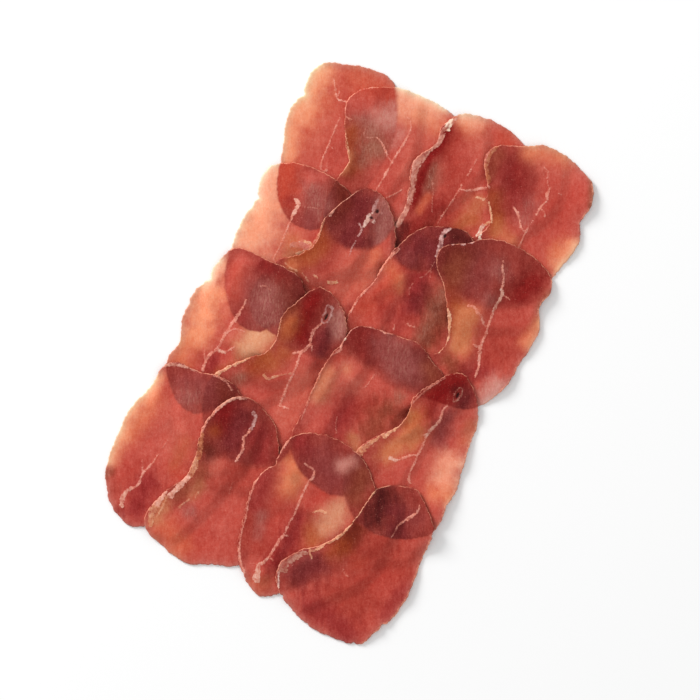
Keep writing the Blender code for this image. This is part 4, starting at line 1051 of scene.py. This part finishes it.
def fat_fields(x, y, sheet, seed):
    """Distance outside the nearest streak of fat, negative inside it, and the streak's colour with its
    strength."""
    gap = np.full(len(x), NO_FAT_GAP)
    colours = np.tile(np.append(tone("vein"), 1.0), (len(x), 1))
    wander = 1 + ripples(x, y, seed + FAT_SEED, STREAK_RIPPLES)
    for streak in [Streak(*row) for row in FAT[sheet.name]]:
        points = smooth_run(placed(streak.points), STREAK_STEPS, closed=False)
        far, share = distance_to_run(points, x, y)
        half = 0.5 * (streak.start + (streak.end - streak.start) * share) * MM + STREAK_MARGIN
        outside = far - half * wander
        nearer = outside < gap
        gap = np.where(nearer, outside, gap)
        colours[nearer] = np.append(tone(streak.tone), streak.strength)
    cover = FAT_COVER + ripples(x, y, seed + FAT_COVER_SEED, FAT_COVER_RIPPLES)
    colours[:, 3] *= np.clip(cover, *FAT_COVER_LIMITS)
    return gap, colours


def hole_field(x, y, sheet):
    """How far into a vessel's hole each place is, from 0 outside to 1 in its middle."""
    deep = np.zeros(len(x))
    for hole in HOLES.get(sheet.name, []):
        centre = placed(hole.centre)
        far = np.hypot((x - centre[0]) / (hole.radii[0] * MM), (y - centre[1]) / (hole.radii[1] * MM))
        deep = np.maximum(deep, 1 - step_up(far, *HOLE_SLOPE))
    return deep


def slice_mesh(sheet, pile, field):
    """Closed mesh of one slice: a stretched grid, draped, with a top, an underside and a rim."""
    mesh = bmesh.new()
    bmesh.ops.create_grid(mesh, x_segments=CELLS_ACROSS, y_segments=CELLS_ALONG, size=1.0)
    shares = (np.array([vert.co[:2] for vert in mesh.verts]) + 1) / 2
    cells = np.rint(shares * (CELLS_ACROSS, CELLS_ALONG)).astype(int)
    places = sheet.grid()[cells[:, 0], cells[:, 1]]
    heights = pile.at(field, places[:, 0], places[:, 1])
    for vert, place, height in zip(mesh.verts, places, heights):
        vert.co = (place[0], place[1], height)
    raised = bmesh.ops.extrude_face_region(mesh, geom=mesh.faces[:], use_keep_orig=True)
    top = [item for item in raised["geom"] if isinstance(item, bmesh.types.BMVert)]
    bmesh.ops.translate(mesh, verts=top, vec=(0, 0, THICKNESS))
    bmesh.ops.recalc_face_normals(mesh, faces=mesh.faces[:])
    return mesh


def add_object(name, data):
    """Object of a mesh, light or camera, linked into the scene."""
    added = bpy.data.objects.new(name, data)
    bpy.context.collection.objects.link(added)
    return added


def mesh_data(name, mesh):
    """Mesh data made from a bmesh, which is then freed."""
    data = bpy.data.meshes.new(name)
    mesh.to_mesh(data)
    mesh.free()
    return data


def add_slice(sheet, pile, field, below, seed):
    """One slice with its relief and the colours that its material reads."""
    data = mesh_data(sheet.name + "_meat", slice_mesh(sheet, pile, field))
    spots = np.empty(len(data.vertices) * 3)
    data.vertices.foreach_get("co", spots)
    spots = spots.reshape(-1, 3)
    x, y = spots[:, 0].copy(), spots[:, 1].copy()
    on_top = spots[:, 2] - pile.at(field, x, y) > THICKNESS / 2
    depth = np.clip(sheet.depth_at(x, y), 0, None)
    gap, fat_colours = fat_fields(x, y, sheet, seed)
    deep = hole_field(x, y, sheet)
    count, hidden_rim_shade, lapping = layers_below(x, y, sheet, below, seed + LAYER_SEED)

    rounding = RIM_ROUND * RIM_SHARE * (1 - np.sqrt(1 - np.clip(1 - depth / RIM_ROUND, 0, 1) ** 2))
    relief = FAT_RISE * (1 - step_up(gap, *FAT_SLOPE)) + HOLE_DEPTH * deep
    relief += ripples(x, y, seed + FACE_SEED, FACE_RIPPLES)
    relief *= step_up(depth, 0, FLAT_RIM)
    spots[:, 2] += np.where(on_top, relief - rounding, rounding)
    spots[:, 2] = np.maximum(spots[:, 2], 0)
    data.vertices.foreach_set("co", spots.ravel())

    lean, dry_and_sheen = lean_colour(x, y, sheet, count, hidden_rim_shade, lapping, seed)
    lapped = step_up(count, *LAPPED_COUNT)
    # Painted glow where light shines through the thin open rim from the table
    painted_glow = (1 - lapped) * np.exp(-depth / PAINTED_GLOW_REACH)
    lean = np.clip(lean * (1 + painted_glow[:, None] * np.array(PAINTED_GLOW_GAIN)), 0, BRIGHTEST)
    # Painted shade darkens the vessel holes
    lean = mix(lean, tone("black_red") * HOLE_SHADE_SHARE, HOLE_SHADE_STRENGTH * deep)
    fat_colours[:, 3] *= 1 - deep
    # Painted glow and highlight: a pink line on lapped rims and on the shaded right-hand side, where it is
    # also wider
    shaded_side_glow = step_up(x - LAYING_CENTRE[0], *SHADED_SIDE)
    lined = np.maximum(lapped, shaded_side_glow)
    rim = mix(np.tile(tone(OPEN_RIM_TONE), (len(x), 1)), tone(LAPPED_RIM_TONE), lined)
    strength = OPEN_RIM_STRENGTH + (LAPPED_RIM_STRENGTH - OPEN_RIM_STRENGTH) * lined
    strength *= np.clip(RIM_COVER + ripples(x, y, seed + RIM_SEED, RIM_COVER_RIPPLES), 0, 1)
    add_colour(data, "lean", np.column_stack([lean, np.ones(len(lean))]))
    add_colour(data, "fat", fat_colours)
    add_colour(data, "rim", np.column_stack([rim, strength]))
    add_value(data, "dry_and_sheen", dry_and_sheen)
    add_value(data, "fat_gap", gap / MM)
    add_value(data, "rim_depth", depth / MM * (1 - SHADED_RIM_GAIN * shaded_side_glow * (1 - lapped)))
    data.shade_smooth()
    data.materials.append(MEAT)
    data.update()
    built = add_object(sheet.name + "_meat", data)
    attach(built, "root")
    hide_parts(sheet.name)


def add_colour(data, name, colours):
    data.attributes.new(name, "FLOAT_COLOR", "POINT").data.foreach_set("color", colours.ravel())


def add_value(data, name, values):
    data.attributes.new(name, "FLOAT", "POINT").data.foreach_set("value", values)


def new_material(name):
    """Material with nodes, and its shader."""
    material = bpy.data.materials.new(name)
    material.use_nodes = True
    return material, material.node_tree.nodes["Principled BSDF"]


def node(tree, kind, inputs, **settings):
    """Adds a node: its properties are the settings, and each input gets a value or what feeds it."""
    added = tree.nodes.new(kind)
    for name, value in settings.items():
        setattr(added, name, value)
    for name, source in inputs.items():
        if isinstance(source, bpy.types.NodeSocket):
            tree.links.new(source, added.inputs[name])
        else:
            added.inputs[name].default_value = source
    return added.outputs


def attribute(tree, name):
    return node(tree, "ShaderNodeAttribute", {}, attribute_name=name)


def maths(tree, operation, *values):
    return node(tree, "ShaderNodeMath", dict(enumerate(values)), operation=operation)[0]


def noise(tree, place, scale, **inputs):
    return node(tree, "ShaderNodeTexNoise", {"Vector": place, "Scale": scale, **inputs})["Fac"]


def streaky_noise(tree, place, turn, length, width, **inputs):
    """Noise whose grains are drawn out along one direction."""
    slant = {"Vector": place, "Rotation": (0, 0, turn), "Scale": (length, width, length)}
    return noise(tree, node(tree, "ShaderNodeMapping", slant, vector_type="TEXTURE")["Vector"], 1.0, **inputs)


def ranged(tree, value, source, target, **settings):
    """The value moved from the source range onto the target range."""
    inputs = {"Value": value, "From Min": source[0], "From Max": source[1], "To Min": target[0],
              "To Max": target[1]}
    return node(tree, "ShaderNodeMapRange", inputs, **settings)["Result"]


def power(tree, colour, exponent):
    return node(tree, "ShaderNodeGamma", {"Color": colour, "Gamma": exponent})["Color"]


# Inputs of a Mix node that mixes colours, and its output
FACTOR, FIRST, SECOND, MIXED = 0, 6, 7, 2


def blend(tree, share, first, second):
    """The first colour with a share of the second over it."""
    return node(tree, "ShaderNodeMix", {FACTOR: share, FIRST: first, SECOND: second}, data_type="RGBA")[MIXED]


def cured_beef():
    """Air-cured beef, sliced: moist lean with fine fibres, and cloudy fat with a grainy edge."""
    material, shader = new_material("cured_beef")
    tree = material.node_tree
    place = node(tree, "ShaderNodeTexCoord", {})["Object"]
    fat = attribute(tree, "fat")
    rim = attribute(tree, "rim")

    # Muscle fibres cut at a slant: short streaks 0.7 mm wide and 2.4 mm long
    fibres = streaky_noise(tree, place, FIBRE_TURN, 2.4 * MM, 0.7 * MM, Detail=3.0, Roughness=0.6,
                           Distortion=0.6)
    # Mottling of the lean, in clouds about 3 mm across
    clouds = noise(tree, place, 330.0, Detail=4.0, Roughness=0.65)
    # Grain of the cut face, 0.7 mm across
    specks = noise(tree, place, 1400.0, Detail=2.0, Roughness=0.6)
    grain = maths(tree, "ADD", maths(tree, "ADD", fibres, clouds), specks)
    colour = power(tree, attribute(tree, "lean")["Color"], ranged(tree, grain, GRAIN_RANGE, LEAN_POWER))

    # Pale grains of fat in the lean, 0.5 mm across and seldom
    seeds = ranged(tree, noise(tree, place, 1900.0, Detail=1.0), SEED_RANGE, SEED_SHARE)
    colour = blend(tree, seeds, colour, (*tone("vein"), 1))

    # Dry and glossy places: painted glints where fibre ends catch the light, 0.45 mm wide and 2.4 mm long
    hatch = streaky_noise(tree, place, HATCH_TURN, 2.4 * MM, 0.45 * MM, Detail=2.0, Distortion=0.8)
    hatch = ranged(tree, hatch, HATCH_RANGE, HATCH_SHARE)
    dry_and_sheen = maths(tree, "MULTIPLY", hatch, attribute(tree, "dry_and_sheen")["Fac"])
    colour = blend(tree, dry_and_sheen, colour, (*tone("grey_fat"), 1))

    # The fat's edge breaks up into the same grains
    fat_gap = maths(tree, "MULTIPLY_ADD", specks, FAT_SPECKS, attribute(tree, "fat_gap")["Fac"])
    fat_share = ranged(tree, fat_gap, FAT_EDGE, (1.0, 0.0), interpolation_type="SMOOTHSTEP")
    fat_share = maths(tree, "MULTIPLY", fat_share, fat["Alpha"])
    fat_colour = power(tree, fat["Color"], ranged(tree, grain, GRAIN_RANGE, FAT_POWER))
    colour = blend(tree, fat_share, colour, fat_colour)

    # Rim line, part dried rim and part painted highlight and glow, thin and broken by the grain
    rim_depth = maths(tree, "MULTIPLY_ADD", specks, RIM_SPECKS, attribute(tree, "rim_depth")["Fac"])
    rim_share = ranged(tree, rim_depth, RIM_EDGE, (1.0, 0.0), interpolation_type="SMOOTHSTEP")
    rim_share = maths(tree, "MULTIPLY", rim_share, rim["Alpha"])
    colour = blend(tree, rim_share, colour, rim["Color"])
    tree.links.new(colour, shader.inputs["Base Color"])

    relief = {"Height": grain, "Strength": BUMP_STRENGTH, "Distance": BUMP_HEIGHT}
    tree.links.new(node(tree, "ShaderNodeBump", relief)["Normal"], shader.inputs["Normal"])
    tree.links.new(ranged(tree, clouds, CLOUD_RANGE, ROUGHNESS), shader.inputs["Roughness"])
    shader.inputs["Specular IOR Level"].default_value = MEAT_GLOSS
    shader.inputs["IOR"].default_value = MEAT_IOR
    return material


MEAT = cured_beef()


def build_sheet():
    """Lays the slices one after another, each over those before it."""
    pile = Pile()
    laid = []
    for number, name in enumerate(SLICES):
        sheet = Sheet(name, number + 1)
        field = pile.drape(sheet)
        add_slice(sheet, pile, field, laid, number * SEED_STEP + FIRST_SEED)
        pile.lay(sheet, field)
        laid.append(sheet)


def white_board():
    """Painted white board: matte, with no gloss."""
    material, shader = new_material("white_board")
    shader.inputs["Base Color"].default_value = (BOARD_WHITE, BOARD_WHITE, BOARD_WHITE, 1)
    shader.inputs["Roughness"].default_value = BOARD_ROUGHNESS
    shader.inputs["Specular IOR Level"].default_value = 0.0
    return material


def build_table():
    mesh = bmesh.new()
    bmesh.ops.create_grid(mesh, x_segments=1, y_segments=1, size=BOARD_SIZE)
    data = mesh_data("board", mesh)
    data.materials.append(white_board())
    board = add_object("board", data)
    board.location.z = -BOARD_DROP


def build_light():
    """Soft key light from the picture's upper left, and an even fill from all round."""
    cos, sin = math.cos(SHEET_TURN), math.sin(SHEET_TURN)
    left_up = (-cos - sin, -sin + cos)
    light = bpy.data.lights.new("key", "AREA")
    light.shape = "DISK"
    light.size = KEY_SIZE
    light.energy = KEY_POWER
    key = add_object("key", light)
    aside = KEY_DISTANCE * math.cos(KEY_RISE) / math.hypot(*left_up)
    key.location = (aside * left_up[0], aside * left_up[1], KEY_DISTANCE * math.sin(KEY_RISE))
    key.rotation_euler = (-key.location).to_track_quat("-Z", "Y").to_euler()
    world = bpy.data.worlds.new("studio")
    bpy.context.scene.world = world
    world.use_nodes = True
    background = world.node_tree.nodes["Background"]
    background.inputs["Color"].default_value = (1, 1, 1, 1)
    background.inputs["Strength"].default_value = FILL_STRENGTH
    bpy.context.scene.view_settings.view_transform = "Standard"


def build_camera():
    """Camera straight above, rolled so that the sheet leans as in the picture."""
    half = PICTURE_PIXELS / 2
    aside = (half - LAYING_CENTRE_PIXEL[0]) * PIXEL_SIZE
    upward = (LAYING_CENTRE_PIXEL[1] - half) * PIXEL_SIZE
    x = LAYING_CENTRE[0] + aside * math.cos(SHEET_TURN) - upward * math.sin(SHEET_TURN)
    y = LAYING_CENTRE[1] + aside * math.sin(SHEET_TURN) + upward * math.cos(SHEET_TURN)
    view = bpy.data.cameras.new("camera")
    view.lens = LENS
    view.sensor_width = SENSOR
    view.clip_end = CAMERA_RANGE
    distance = PICTURE_PIXELS * PIXEL_SIZE * LENS / SENSOR
    camera = add_object("camera", view)
    camera.location = (x, y, distance + SCALE_HEIGHT)
    camera.rotation_euler = (0, 0, SHEET_TURN)
    bpy.context.scene.camera = camera


build_sheet()
build_table()
build_light()
build_camera()
bpy.context.view_layer.update()
